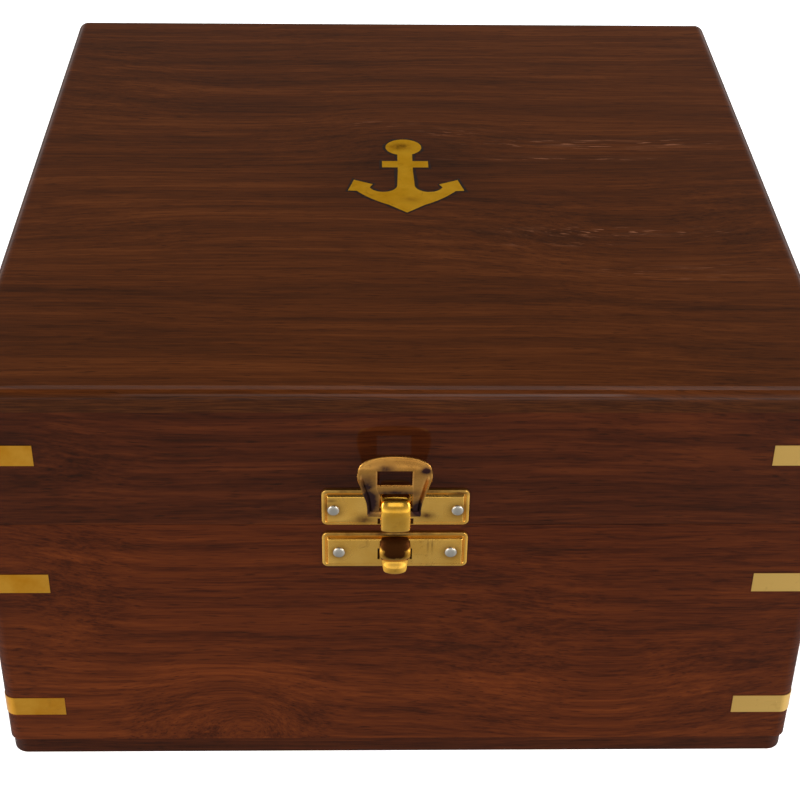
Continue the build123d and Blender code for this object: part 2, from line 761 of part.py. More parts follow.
# Plates, pillars and the cock
pillar_screw_r = 1.2
with BuildPart() as pillar_plate:
    rod(centre_at, pillar_plate_r, pillar_plate_z, pillar_plate_z + pillar_plate_t)
    low, high = pillar_plate_z - 1, pillar_plate_z + pillar_plate_t + 1
    for at, r in (
        (centre_at, centre_arbor), (third_at, slim_arbor), (fourth_at, slim_arbor),
        (escape_at, fine_arbor), (fusee_at, fusee_arbor), (barrel_at, fusee_arbor),
        (up_down_at, slim_arbor), (minute_at, slim_arbor),
    ):
        rod(at, r + turn_room, low, high, Mode.SUBTRACT)
    for angle in pillar_angles:
        rod(towards(centre_at, pillar_ring, angle), pillar_screw_r + nail_room, low, high, Mode.SUBTRACT)
    for angle in dial_foot_angles:
        rod(towards(centre_at, dial_foot_ring, angle), dial_foot_r + nail_room, low, high, Mode.SUBTRACT)
finish(pillar_plate, "pillar_plate")

detent_reach = 7.1
detent_len = 18.0
detent_across = 69.5
detent_line = towards(escape_at, detent_reach, detent_across)
detent_pivot = towards(detent_line, detent_len, detent_across + 90)
cock_foot = (13.5, -23.0)
with BuildPart() as top_plate:
    rod(centre_at, top_plate_r, top_plate_z, top_plate_z + top_plate_t)
    low, high = top_plate_z - 1, top_plate_z + top_plate_t + 1
    for at, r in (
        (centre_at, centre_arbor), (third_at, slim_arbor), (fourth_at, slim_arbor),
        (escape_at, fine_arbor), (fusee_at, fusee_arbor), (barrel_at, fusee_arbor),
        (balance_at, fine_arbor), (detent_pivot, fine_arbor), (cock_foot, pillar_screw_r),
    ):
        rod(at, r + turn_room, low, high, Mode.SUBTRACT)
    for angle in pillar_angles:
        rod(towards(centre_at, pillar_ring, angle), pillar_screw_r + nail_room, low, high, Mode.SUBTRACT)
finish(top_plate, "top_plate")

with BuildPart() as pillars:
    for angle in pillar_angles:
        at = towards(centre_at, pillar_ring, angle)
        rod(at, 2.0, top_plate_z + top_plate_t, pillar_plate_z)
        rod(at, pillar_screw_r, top_plate_z - 0.5, pillar_plate_z + pillar_plate_t - 0.5)
        rod(at, 2.4, top_plate_z - 1.5, top_plate_z)
finish(pillars, "pillars")

cock_z = 23.0
cock_t = 2.0
with BuildPart() as cock:
    arm_turn = degrees(atan2(cock_foot[1] - balance_at[1], cock_foot[0] - balance_at[0]))
    arm_len = hypot(cock_foot[0] - balance_at[0], cock_foot[1] - balance_at[1])
    with BuildSketch(Plane((*balance_at, cock_z)).rotated((0, 0, arm_turn))):
        with Locations((arm_len / 2, 0)):
            SlotOverall(arm_len + 7, 6)
    extrude(amount=cock_t)
    slab(
        (cock_foot[0] - 2.6, cock_foot[1] - 4, cock_z),
        (cock_foot[0] + 3, cock_foot[1] + 4, top_plate_z),
    )
    rod(cock_foot, pillar_screw_r, top_plate_z, top_plate_z + top_plate_t)
    rod(balance_at, fine_arbor + turn_room, cock_z - 1, cock_z + cock_t + 1, Mode.SUBTRACT)
finish(cock, "balance_cock")


# Gears
def gear_points(teeth, module):
    """Flat-sided teeth with short tips: four corners a tooth, the first tooth centred on +X."""
    points = []
    for tooth in range(teeth):
        corners = ((-1.1, -0.30), (0.7, -0.13), (0.7, 0.13), (-1.1, 0.30))
        for height, share in corners:
            points.append(towards((0, 0), module * (teeth / 2 + height), (tooth + share) * 360 / teeth))
    return points


def crossing_points(r_in, r_out, spokes, number):
    """One window between two spokes, as a flat-sided sector."""
    middle = (number + 0.5) * 360 / spokes
    inner_half = 180 / spokes - degrees(0.9 / r_in)
    outer_half = 180 / spokes - degrees(0.9 / r_out)
    outer = [towards((0, 0), r_out, middle + outer_half * k / 4) for k in range(-4, 5)]
    inner = [towards((0, 0), r_in, middle + inner_half * k / 2) for k in range(2, -3, -1)]
    return outer + inner


def gear(at, teeth, module, partner, gap, z, t, bore, spokes=0):
    """A gear with a tooth, or a gap, centred on the line to its partner, and a flat-sided bore."""
    turn = degrees(atan2(partner[1] - at[1], partner[0] - at[0]))
    if gap:
        turn += 180 / teeth
    with BuildSketch(Plane((*at, z)).rotated((0, 0, turn))) as outline:
        with BuildLine():
            Polyline(*gear_points(teeth, module), close=True)
        make_face()
        RegularPolygon(bore + nail_room, 12, major_radius=False, mode=Mode.SUBTRACT)
        root = module * (teeth / 2 - 1.1)
        for number in range(spokes):
            with BuildLine():
                Polyline(*crossing_points(bore + 1.6, root - 1.4, spokes, number), close=True)
            make_face(mode=Mode.SUBTRACT)
    extrude(outline.sketch, amount=t, mode=Mode.ADD)


arbor_low = top_plate_z + 0.3
arbor_high = pillar_plate_z + 2.0
with BuildPart() as great_wheel:
    gear(fusee_at, great_teeth, great_module, centre_at, False, great_z, 2 * wheel_t, fusee_arbor + 0.1, 6)
finish(great_wheel, "great_wheel")

with BuildPart() as centre_wheel:
    rod(centre_at, centre_arbor, arbor_low, minute_hand_z + 0.7)
    gear(centre_at, centre_leaves, great_module, fusee_at, True, great_z - 0.5, 3.5 * wheel_t, centre_arbor)
    gear(centre_at, centre_teeth, centre_module, third_at, False, centre_z, wheel_t, centre_arbor, 5)
    gear(centre_at, cannon_leaves, minute_module, minute_at, True, motion_z, wheel_t, centre_arbor)
finish(centre_wheel, "centre_wheel")

with BuildPart() as third_wheel:
    rod(third_at, slim_arbor, arbor_low, arbor_high)
    gear(third_at, third_leaves, centre_module, centre_at, True, centre_z - 0.7, leaf_t, slim_arbor)
    gear(third_at, third_teeth, third_module, fourth_at, False, third_z, wheel_t, slim_arbor, 5)
finish(third_wheel, "third_wheel")

with BuildPart() as fourth_wheel:
    rod(fourth_at, slim_arbor, arbor_low, small_hand_z + 0.5)
    gear(fourth_at, fourth_leaves, third_module, third_at, True, third_z - 0.7, leaf_t, slim_arbor)
    gear(fourth_at, fourth_teeth, fourth_module, escape_at, False, fourth_z, wheel_t, slim_arbor, 4)
finish(fourth_wheel, "fourth_wheel")

with BuildPart() as escape_wheel:
    rod(escape_at, fine_arbor, escape_z - 0.4, arbor_high)
    gear(escape_at, escape_leaves, fourth_module, fourth_at, True, fourth_z - 0.7, leaf_t, fine_arbor)
    with BuildSketch(Plane((*escape_at, escape_z))):
        with BuildLine():
            points = []
            for tooth in range(escape_teeth):
                start = tooth * 360 / escape_teeth
                points.append(towards((0, 0), escape_root_r, start))
                points.append(towards((0, 0), escape_r, start + 2))
                points.append(towards((0, 0), escape_r, start + 4))
                points.append(towards((0, 0), escape_root_r, start + 10))
            Polyline(*points, close=True)
        make_face()
        RegularPolygon(fine_arbor + nail_room, 12, major_radius=False, mode=Mode.SUBTRACT)
    extrude(amount=wheel_t)
finish(escape_wheel, "escape_wheel")

with BuildPart() as minute_wheel:
    rod(minute_at, slim_arbor, pillar_plate_z + 0.5, dial_z - 0.3)
    gear(minute_at, minute_teeth, minute_module, centre_at, False, motion_z + 0.1, 0.8, slim_arbor, 4)
    gear(minute_at, minute_leaves, hour_module, centre_at, True, hour_pipe_z, 1.2, slim_arbor)
finish(minute_wheel, "minute_wheel")

with BuildPart() as hour_wheel:
    rod(centre_at, hour_pipe_r, hour_pipe_z, hour_hand_z + 0.5)
    rod(centre_at, centre_arbor + turn_room, hour_pipe_z - 1, hour_hand_z + 1, Mode.SUBTRACT)
    gear(centre_at, hour_teeth, hour_module, minute_at, False, hour_pipe_z + 0.2, 0.8, hour_pipe_r, 5)
finish(hour_wheel, "hour_wheel")

# Fusee: eight steps stand for its spiral groove, and a winding square is below
fusee_low, fusee_high = 42.0, 51.0
fusee_wide, fusee_narrow = 12.0, 7.5
fusee_turns = 8
square_s = 2.0
square_low, square_len = 23.0, 7.5
with BuildPart() as fusee:
    with BuildSketch(Plane((*fusee_at, 0), x_dir=(1, 0, 0), z_dir=(0, -1, 0))):
        with BuildLine():
            pitch = (fusee_high - fusee_low - 1.0) / fusee_turns
            points = [(0, fusee_low), (fusee_wide + 1, fusee_low), (fusee_wide + 1, fusee_low + 0.5)]
            for number in range(fusee_turns):
                share = number / (fusee_turns - 1)
                r = fusee_wide + (fusee_narrow - fusee_wide) * share
                z = fusee_low + 0.5 + number * pitch
                points += [(r - 0.7, z + 0.15), (r - 0.7, z + pitch - 0.3), (r, z + pitch)]
            points += [(fusee_narrow, fusee_high), (0, fusee_high)]
            Polyline(*points, close=True)
        make_face()
    revolve(axis=Axis((*fusee_at, 0), (0, 0, 1)))
    rod(fusee_at, fusee_arbor, square_low + square_len - 0.5, arbor_high)
    with Locations((*fusee_at, square_low)):
        Box(square_s, square_s, square_len, align=LOW)
finish(fusee, "fusee")

# Barrel: an open drum with a cover, turning on its fixed arbor round the coiled mainspring
barrel_low, barrel_high = 39.5, 50.0
with BuildPart() as barrel:
    rod(barrel_at, barrel_r, barrel_low, barrel_high - 1.0)
    rod(barrel_at, barrel_r - 1.0, barrel_low + 1.0, barrel_high, Mode.SUBTRACT)
    rod(barrel_at, barrel_r, barrel_high - 0.95, barrel_high)
    rod(barrel_at, fusee_arbor + turn_room, barrel_low - 1, barrel_high + 1, Mode.SUBTRACT)
finish(barrel, "barrel")

with BuildPart() as barrel_arbor:
    rod(barrel_at, fusee_arbor, top_plate_z - 1.5, arbor_high)
finish(barrel_arbor, "barrel_arbor")

spring_t = 0.5
spring_turns = 7
spring_steps = 16 * spring_turns
with BuildPart() as mainspring:
    with BuildSketch(Plane((*barrel_at, barrel_low + 1.5))):
        with BuildLine():
            outer, inner = [], []
            for step in range(spring_steps + 1):
                r = 3.0 + (barrel_r - 4.8) * step / spring_steps
                angle = 360 * spring_turns * step / spring_steps
                outer.append(towards((0, 0), r + spring_t, angle))
                inner.append(towards((0, 0), r, angle))
            Polyline(*outer, *reversed(inner), close=True)
        make_face()
    extrude(amount=barrel_high - barrel_low - 3.5)
finish(mainspring, "mainspring")

# Fusee chain: the straight run from the barrel to the fusee, clear of both
chain_z = 45.8
chain_h = 1.4
chain_t = 0.7
run_angle = degrees(atan2(barrel_at[1] - fusee_at[1], barrel_at[0] - fusee_at[0]))
chain_start = towards(fusee_at, fusee_wide + slack, run_angle + 90)
chain_end = towards(barrel_at, barrel_r + slack, run_angle + 90)
with BuildPart() as chain:
    chain_len = hypot(chain_end[0] - chain_start[0], chain_end[1] - chain_start[1])
    chain_turn = degrees(atan2(chain_end[1] - chain_start[1], chain_end[0] - chain_start[0]))
    with BuildSketch(Plane((*chain_start, chain_z)).rotated((0, 0, chain_turn))):
        with Locations((chain_len / 2, chain_t / 2 + 0.1)):
            Rectangle(chain_len, chain_t)
    extrude(amount=chain_h)
finish(chain, "fusee_chain")

# Balance, its helical spring, and the detent
balance_z = 30.0
rim_r, rim_in, rim_h = 11.0, 9.4, 2.0
arm_w, arm_h = 2.0, 1.2
weight_r, weight_ring, weight_over = 1.8, 9.9, 0.4
with BuildPart() as balance:
    rod(balance_at, rim_r, balance_z, balance_z + rim_h)
    rod(balance_at, rim_in, balance_z - 1, balance_z + rim_h + 1, Mode.SUBTRACT)
    rod(balance_at, fine_arbor, cock_z + 0.5, top_plate_z + 1.5)
    rod(balance_at, roller_r, escape_z, escape_z + wheel_t)
    with Locations((*balance_at, balance_z)):
        Box(2 * rim_in + 1.2, arm_w, arm_h, align=LOW)
    for side in (-1, 1):
        weight_at = (balance_at[0], balance_at[1] + side * weight_ring)
        rod(weight_at, weight_r, balance_z - weight_over, balance_z + rim_h + weight_over)
finish(balance, "balance_wheel")

coil_r, coil_t = 4.0, 0.4
coil_low, coil_high = 25.8, 29.6
with BuildPart() as balance_spring:
    rod(balance_at, coil_r, coil_low, coil_high)
    rod(balance_at, coil_r - coil_t, coil_low - 1, coil_high + 1, Mode.SUBTRACT)
finish(balance_spring, "balance_spring")

stone_s = 3.0
detent_hub_r = 1.6
detent_hub_low = escape_z - 0.2
with BuildPart() as detent:
    rod(detent_pivot, detent_hub_r, detent_hub_low, top_plate_z - 0.5)
    rod(detent_pivot, fine_arbor, detent_hub_low, top_plate_z + 1.5)
    with BuildSketch(Plane((*detent_line, escape_z)).rotated((0, 0, detent_across + 90))):
        with Locations(((detent_len + 2.4) / 2, 0)):
            Rectangle(detent_len - 2.4, 0.4)
        with Locations((stone_s, (detent_reach - 5.7) / 2)):
            Rectangle(0.6, detent_reach - 5.7)
    extrude(amount=wheel_t)
finish(detent, "detent")


# Hands. An angle is clockwise from 12, at a little after nine minutes past ten
def hand_plane(at, z, clockwise):
    """The plane of a hand that points along its own +X."""
    return Plane((*at, z)).rotated((0, 0, 90 - clockwise))


def hand(name, at, z, t, clockwise, length, tail, half_w, hub_r, bore_r, arbor_from=None):
    """A tapering hand with a waist, round hub and bore, and its own arbor if it has one."""
    with BuildPart() as made:
        with BuildSketch(hand_plane(at, z, clockwise)):
            with BuildLine():
                Polyline(
                    (-tail, -half_w * 0.6), (length * 0.62, -half_w * 0.5), (length * 0.74, -half_w),
                    (length, -0.12), (length, 0.12), (length * 0.74, half_w),
                    (length * 0.62, half_w * 0.5), (-tail, half_w * 0.6), close=True,
                )
            make_face()
            Circle(hub_r)
            Circle(bore_r, mode=Mode.SUBTRACT)
        extrude(amount=t)
        if arbor_from:
            rod(at, bore_r, arbor_from, z + t + 0.2)
    finish(made, name)


minutes = 9.4
hour_angle = 300 + minutes / 2
seconds_angle = (minutes % 1) * 360
hand_t = 0.4
small_hand_t = 0.3
pipe_fit = hour_pipe_r + nail_room
centre_fit = centre_arbor + nail_room
slim_fit = slim_arbor + nail_room
post_low = pillar_plate_z + 0.5
hand("hour_hand", centre_at, hour_hand_z, hand_t, hour_angle, 22.0, 3.0, 1.5, 3.2, pipe_fit)
hand("minute_hand", centre_at, minute_hand_z, hand_t, minutes * 6, 35.0, 6.0, 1.1, 2.6, centre_fit)
hand("seconds_hand", fourth_at, small_hand_z, small_hand_t, seconds_angle, 10.0, 3.0, 0.5, 1.4, slim_fit)
hand("up_down_hand", up_down_at, small_hand_z, small_hand_t, 225.0, 8.5, 2.5, 0.5, 1.4, slim_arbor, post_low)
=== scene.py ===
"""The looks of a marine chronometer in its rosewood box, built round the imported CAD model."""
import json
import math

import bmesh
import bpy
from mathutils import Matrix, Vector


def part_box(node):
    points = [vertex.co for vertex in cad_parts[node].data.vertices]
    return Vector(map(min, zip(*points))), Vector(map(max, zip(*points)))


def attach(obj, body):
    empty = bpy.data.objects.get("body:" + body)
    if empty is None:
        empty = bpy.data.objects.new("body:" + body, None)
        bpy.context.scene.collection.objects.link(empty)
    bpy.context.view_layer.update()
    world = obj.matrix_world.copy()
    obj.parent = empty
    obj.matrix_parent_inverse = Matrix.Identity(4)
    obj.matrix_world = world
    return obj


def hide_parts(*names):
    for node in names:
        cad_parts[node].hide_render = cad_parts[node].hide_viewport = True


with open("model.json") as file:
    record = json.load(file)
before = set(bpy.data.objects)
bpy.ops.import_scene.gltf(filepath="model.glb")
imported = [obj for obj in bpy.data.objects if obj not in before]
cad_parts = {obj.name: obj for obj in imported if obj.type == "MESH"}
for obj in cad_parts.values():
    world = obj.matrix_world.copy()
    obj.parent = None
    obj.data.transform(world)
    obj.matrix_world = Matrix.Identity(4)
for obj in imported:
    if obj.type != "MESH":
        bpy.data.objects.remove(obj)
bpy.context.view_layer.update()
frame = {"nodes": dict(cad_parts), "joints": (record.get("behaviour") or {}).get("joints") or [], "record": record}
MM = 0.001
scene = bpy.context.scene


# ---------------------------------------------------------------- node helpers
class Tree:
    """A material's node tree, with short calls for the nodes that the materials share."""

    def __init__(self, name):
        self.material = bpy.data.materials.new(name)
        self.material.use_nodes = True
        self.nodes = self.material.node_tree.nodes
        self.links = self.material.node_tree.links
        self.nodes.clear()
        self.output = self.nodes.new("ShaderNodeOutputMaterial")
        self.shader = self.nodes.new("ShaderNodeBsdfPrincipled")
        self.links.new(self.shader.outputs[0], self.output.inputs["Surface"])
        coordinates = self.nodes.new("ShaderNodeTexCoord")
        self.place = coordinates.outputs["Object"]

    def put(self, socket, value):
        """Link an output to an input, or set the input's own value."""
        if isinstance(value, bpy.types.NodeSocket):
            self.links.new(value, socket)
        else:
            socket.default_value = value

    def set(self, **values):
        """Set the shader's own sockets by name, with _ for a space."""
        for name, value in values.items():
            self.put(self.shader.inputs[name.replace("_", " ")], value)

    def mapping(self, scale=(1, 1, 1), shift=(0, 0, 0), vector=None):
        """A scaled and shifted copy of the coordinates."""
        node = self.nodes.new("ShaderNodeMapping")
        self.put(node.inputs["Vector"], vector or self.place)
        node.inputs["Scale"].default_value = scale
        node.inputs["Location"].default_value = shift
        return node.outputs[0]

    def noise(self, vector, scale, detail=4.0, roughness=0.5, distortion=0.0):
        """Fractal noise, from 0 to 1."""
        node = self.nodes.new("ShaderNodeTexNoise")
        self.put(node.inputs["Vector"], vector)
        node.inputs["Scale"].default_value = scale
        node.inputs["Detail"].default_value = detail
        node.inputs["Roughness"].default_value = roughness
        node.inputs["Distortion"].default_value = distortion
        return node.outputs["Fac"]

    def ramp(self, value, stops):
        """A colour for each place between 0 and 1; a plain number stands for a grey."""
        node = self.nodes.new("ShaderNodeValToRGB")
        self.put(node.inputs[0], value)
        elements = node.color_ramp.elements
        while len(elements) < len(stops):
            elements.new(0.5)
        for element, (place, colour) in zip(elements, stops):
            element.position = place
            element.color = (*colour, 1) if isinstance(colour, tuple) else (colour, colour, colour, 1)
        return node.outputs[0]

    def mix(self, factor, a, b):
        """Two colours mixed."""
        node = self.nodes.new("ShaderNodeMix")
        node.data_type = "RGBA"
        self.put(node.inputs[0], factor)
        self.put(node.inputs[6], a if isinstance(a, bpy.types.NodeSocket) else (*a, 1))
        self.put(node.inputs[7], b if isinstance(b, bpy.types.NodeSocket) else (*b, 1))
        return node.outputs[2]

    def math(self, operation, a, b=0.0, c=0.0, clamp=False):
        """Arithmetic on two or three numbers."""
        node = self.nodes.new("ShaderNodeMath")
        node.operation = operation
        node.use_clamp = clamp
        for socket, value in zip(node.inputs, (a, b, c)):
            self.put(socket, value)
        return node.outputs[0]

    def vector(self, operation, a, b=(0, 0, 0)):
        """Arithmetic on two vectors."""
        node = self.nodes.new("ShaderNodeVectorMath")
        node.operation = operation
        self.put(node.inputs[0], a)
        self.put(node.inputs[1], b)
        return node.outputs["Value" if operation == "DOT_PRODUCT" else "Vector"]

    def split(self, vector):
        """The x, y and z of a vector."""
        node = self.nodes.new("ShaderNodeSeparateXYZ")
        self.put(node.inputs[0], vector)
        return node.outputs

    def join(self, x, y, z):
        """A vector from three numbers."""
        node = self.nodes.new("ShaderNodeCombineXYZ")
        for socket, value in zip(node.inputs, (x, y, z)):
            self.put(socket, value)
        return node.outputs[0]

    def hill(self, vector, place, spread):
        """A smooth hill, 1 at a place and 0 well outside its spread along each axis, in mm."""
        apart = self.vector("SUBTRACT", vector, tuple(c * MM for c in place))
        scaled = self.vector("DIVIDE", apart, tuple(c * MM for c in spread))
        return self.math("EXPONENT", self.math("MULTIPLY", self.vector("DOT_PRODUCT", scaled, scaled), -1.0))

    def bump(self, height, strength, distance):
        """A normal that follows a height."""
        node = self.nodes.new("ShaderNodeBump")
        node.inputs["Strength"].default_value = strength
        node.inputs["Distance"].default_value = distance
        self.put(node.inputs["Height"], height)
        return node.outputs[0]


# ------------------------------------------------------------------- materials
def rosewood(name, along, seed, tones, bends=(), shades=(), painted_edge_shade=None, coat=0.25, gloss=0.07):
    """Rosewood under varnish, with its grain along X or Y.

    A bend is (x, y, z, spread along, spread across, lift): it arches the grain lines round a place.
    A shade is (x, y, z, spread along, spread across, strength): it darkens the wood round a place.
    An edge shade (height, depth, strength) is painted shade: it darkens the wood from that height down, over the
    board's edges and fillets, and the varnish lies thicker on the front edge's fillet just below it.
    """
    tree = Tree(name)
    x, y, z = tree.split(tree.place)
    if along == "Y":
        x, y = y, x
    run = tree.join(x, y, z)

    wander = tree.noise(tree.mapping((6, 13, 13), shift=(seed, seed * 2, 3), vector=run), 1.0, 1.0)
    ripple = tree.noise(tree.mapping((38, 60, 60), shift=(seed, 7, seed), vector=run), 1.0, 2.0, 0.5)
    drift = tree.math("MULTIPLY_ADD", tree.math("SUBTRACT", wander, 0.5), 0.026, tree.math(
        "MULTIPLY", tree.math("SUBTRACT", ripple, 0.5), 0.0016))
    for bend in bends:
        rise = tree.hill(run, bend[:3], (bend[3], bend[4], bend[4]))
        drift = tree.math("MULTIPLY_ADD", rise, -bend[5] * MM, drift)
    grain = tree.join(x, tree.math("ADD", y, drift), tree.math("ADD", z, drift))

    broad = tree.noise(tree.mapping((4, 85, 85), shift=(seed, 0, 0), vector=grain), 1.0, 3.0, 0.5)
    lines = tree.noise(tree.mapping((9, 330, 330), shift=(0, seed, 0), vector=grain), 1.0, 3.0, 0.6)
    streaks = tree.noise(tree.mapping((32, 1150, 1150), shift=(0, 3, seed), vector=grain), 1.0, 3.0, 0.62)
    fibre = tree.noise(tree.mapping((110, 3600, 3600), vector=grain), 1.0, 2.0, 0.6)
    pores = tree.noise(tree.mapping((210, 2900, 2900), shift=(5, 0, 1), vector=grain), 1.0, 1.0, 0.4)
    pore = tree.ramp(pores, [(0.62, 0.0), (0.74, 1.0)])
    tone = tree.math("MULTIPLY_ADD", broad, 0.28, tree.math(
        "MULTIPLY_ADD", lines, 0.36, tree.math("MULTIPLY", streaks, 0.36)))
    for shade in shades:
        dim = tree.hill(grain, shade[:3], (shade[3], shade[4], shade[4]))
        tone = tree.math("MULTIPLY_ADD", dim, -shade[5], tone)
    # Painted shade: the wood darkens from the given height down, over the board's edges and fillets.
    if painted_edge_shade:
        below = tree.math("MULTIPLY_ADD", z, -1 / (painted_edge_shade[1] * MM), painted_edge_shade[0] / painted_edge_shade[1], clamp=True)
        tone = tree.math("MULTIPLY_ADD", below, -painted_edge_shade[2], tone)
        fillet = (70, front_y + 0.7, painted_edge_shade[0] - 0.9)
        thick = tree.hill(run, fillet, (75, 1.0, 1.0))
        coat = tree.math("MULTIPLY_ADD", thick, 0.75, coat)
    dark, low, mid, bright = tones
    colour = tree.ramp(tone, [(0.33, dark), (0.43, low), (0.52, mid), (0.64, bright)])
    colour = tree.mix(tree.ramp(fibre, [(0.35, 0.0), (0.65, 0.30)]), colour, bright)
    colour = tree.mix(tree.math("MULTIPLY", pore, 0.6), colour, dark)
    tree.set(
        Base_Color=colour,
        Roughness=tree.math("MULTIPLY_ADD", lines, 0.15, 0.45),
        Normal=tree.bump(tree.math("SUBTRACT", fibre, tree.math("MULTIPLY", pore, 0.8)), 0.2, 0.00006),
        Specular_IOR_Level=0.0,
        Coat_Weight=coat,
        Coat_Roughness=gloss,
        Coat_IOR=1.5,
    )
    return tree, colour, grain


def brass(name, bright, deep, stain_and_shade_colour, roughness=0.22, stain_share=0.5, spots=(), painted_light_colour=None):
    """Brass with a fine brushed grain, a warm mottle, tarnished patches, and a darker colour at chosen spots.

    A spot is (x, y, z, spread x, spread y, spread z, strength): it is real tarnishing, except on the hook, where
    it is painted shade. A paler colour takes over towards +X as painted light on that side.
    """
    tree = Tree(name)
    mottle = tree.noise(tree.mapping(), 170, 4.0, 0.6)
    patches = tree.noise(tree.mapping(), 330, 4.0, 0.7, 0.6)
    brush = tree.noise(tree.mapping((40, 900, 900)), 1.0, 3.0, 0.6)
    colour = tree.mix(tree.ramp(mottle, [(0.35, 0.0), (0.7, 1.0)]), bright, deep)
    # painted light: a paler colour towards +X stands in for the brighter light on that side
    if painted_light_colour:
        across = tree.math("MULTIPLY_ADD", tree.split(tree.place)[0], 6.0, 0.5, clamp=True)
        colour = tree.mix(across, colour, painted_light_colour)
    tarnish_and_painted_shade = tree.ramp(patches, [(0.58, 0.0), (0.76, stain_share)])
    for spot in spots:
        near = tree.math("MULTIPLY", tree.hill(tree.place, spot[:3], spot[3:6]), spot[6])
        uneven = tree.math("MULTIPLY", near, tree.math("MULTIPLY_ADD", patches, 1.6, 0.2))
        tarnish_and_painted_shade = tree.math("MAXIMUM", tarnish_and_painted_shade, uneven, clamp=True)
    colour = tree.mix(tarnish_and_painted_shade, colour, stain_and_shade_colour)
    tree.set(
        Base_Color=colour,
        Metallic=1.0,
        Roughness=tree.math("ADD", tree.math("MULTIPLY_ADD", brush, 0.12, roughness - 0.06),
                            tree.math("MULTIPLY", tarnish_and_painted_shade, 0.25)),
        Normal=tree.bump(brush, 0.06, 0.00004),
    )
    return tree


def steel(name, bright, deep, roughness=0.25):
    """Polished or blued steel with a faint mottle."""
    tree = Tree(name)
    mottle = tree.noise(tree.mapping(), 420, 3.0, 0.6)
    brush = tree.noise(tree.mapping((60, 1400, 1400)), 1.0, 2.0, 0.6)
    tree.set(
        Base_Color=tree.mix(mottle, bright, deep),
        Metallic=1.0,
        Roughness=tree.math("MULTIPLY_ADD", brush, 0.15, roughness - 0.05),
        Normal=tree.bump(brush, 0.08, 0.00004),
    )
    return tree


def linear(r, g, b):
    """A linear colour from one written as it shows on a screen, 0 to 255."""
    return tuple(((c / 255 + 0.055) / 1.055) ** 2.4 if c > 10 else c / 255 / 12.92 for c in (r, g, b))


FRONT_TONES = (linear(26, 9, 4), linear(45, 16, 5), linear(62, 25, 7), linear(84, 37, 12))
LID_TONES = (linear(18, 8, 4), linear(33, 12, 5), linear(48, 19, 7), linear(70, 31, 11))
TOP_TONES = (linear(38, 17, 6), linear(56, 26, 9), linear(70, 33, 11), linear(90, 46, 18))
front_y = -92  # the front of the box, in mm
TOP_Z = 103.5  # and its top
wood_front, _, _ = rosewood(
    "rosewood_front", "X", 1.7, FRONT_TONES,
    bends=((-40, front_y, 12, 18, 16, 8), (-34, front_y, 8, 7, 8, 5), (46, front_y, 16, 34, 18, -8),
           (-88, front_y, 58, 24, 20, 7)),
    shades=((0, front_y, 68, 150, 12, 0.055),),
)
wood_lid, _, _ = rosewood(
    "rosewood_lid", "X", 4.2, LID_TONES,
    bends=((-88, front_y, 88, 26, 12, 5),),
    shades=((-72, front_y, 97, 40, 3.5, 0.24), (-5, front_y, 93.5, 70, 1.6, 0.20),
            (-66, front_y, 86.5, 18, 2.0, 0.18), (60, front_y, 95, 40, 1.6, 0.18),
            (0, front_y, 98.5, 150, 3, 0.10), (0, front_y, 70, 150, 6, -0.03),
            (30, front_y, 80.5, 40, 1.2, 0.12)),
)
wood_side, _, _ = rosewood("rosewood_side", "Y", 6.3, FRONT_TONES)
# The top board's edges carry painted shade from just under the top face down.
wood_top, top_colour, top_grain = rosewood(
    "rosewood_top", "X", 9.1, TOP_TONES,
    bends=((55, -30, TOP_Z, 36, 22, -8), (2, 20, TOP_Z, 24, 16, 5)),
    shades=((2, -4, TOP_Z, 19, 15, 0.13), (52, -28, TOP_Z, 26, 7, 0.06)),
    painted_edge_shade=(TOP_Z - 0.05, 1.8, 0.20),
)
wood_bottom, _, _ = rosewood("rosewood_bottom", "X", 12.5, LID_TONES)


def scuffs(tree, colour, grain, places):
    """Pale dashes along the grain where the varnish is worn through, in patches on the top.

    A patch is (x, y, spread x, spread y, strength).
    """
    dashes = tree.noise(tree.mapping((150, 1500, 1500), shift=(3, 0, 0), vector=grain), 1.0, 2.0, 0.5)
    worn = tree.ramp(dashes, [(0.60, 0.0), (0.70, 1.0)])
    clouds = tree.noise(tree.mapping((60, 500, 500), vector=grain), 1.0, 2.0)
    haze = tree.ramp(clouds, [(0.5, 0.0), (0.75, 0.35)])
    wear = tree.math("MAXIMUM", worn, haze)
    near = 0.0
    for x, y, spread_x, spread_y, strength in places:
        patch = tree.hill(tree.place, (x, y, TOP_Z), (spread_x, spread_y, 2))
        near = tree.math("MAXIMUM", tree.math("MULTIPLY", patch, strength), near)
    share = tree.math("MULTIPLY", wear, near, clamp=True)
    tree.set(Base_Color=tree.mix(share, colour, linear(150, 96, 66)))


scuffs(wood_top, top_colour, top_grain, (
    (52, 16, 24, 2.6, 0.9), (40, 8, 22, 1.0, 0.7), (50, -28, 20, 2.0, 0.8), (36, -34, 12, 0.8, 0.9),
    (62, -46, 18, 3.0, 0.5), (14, 22, 9, 2.0, 0.5), (-4, 27, 8, 1.6, 0.5),
))
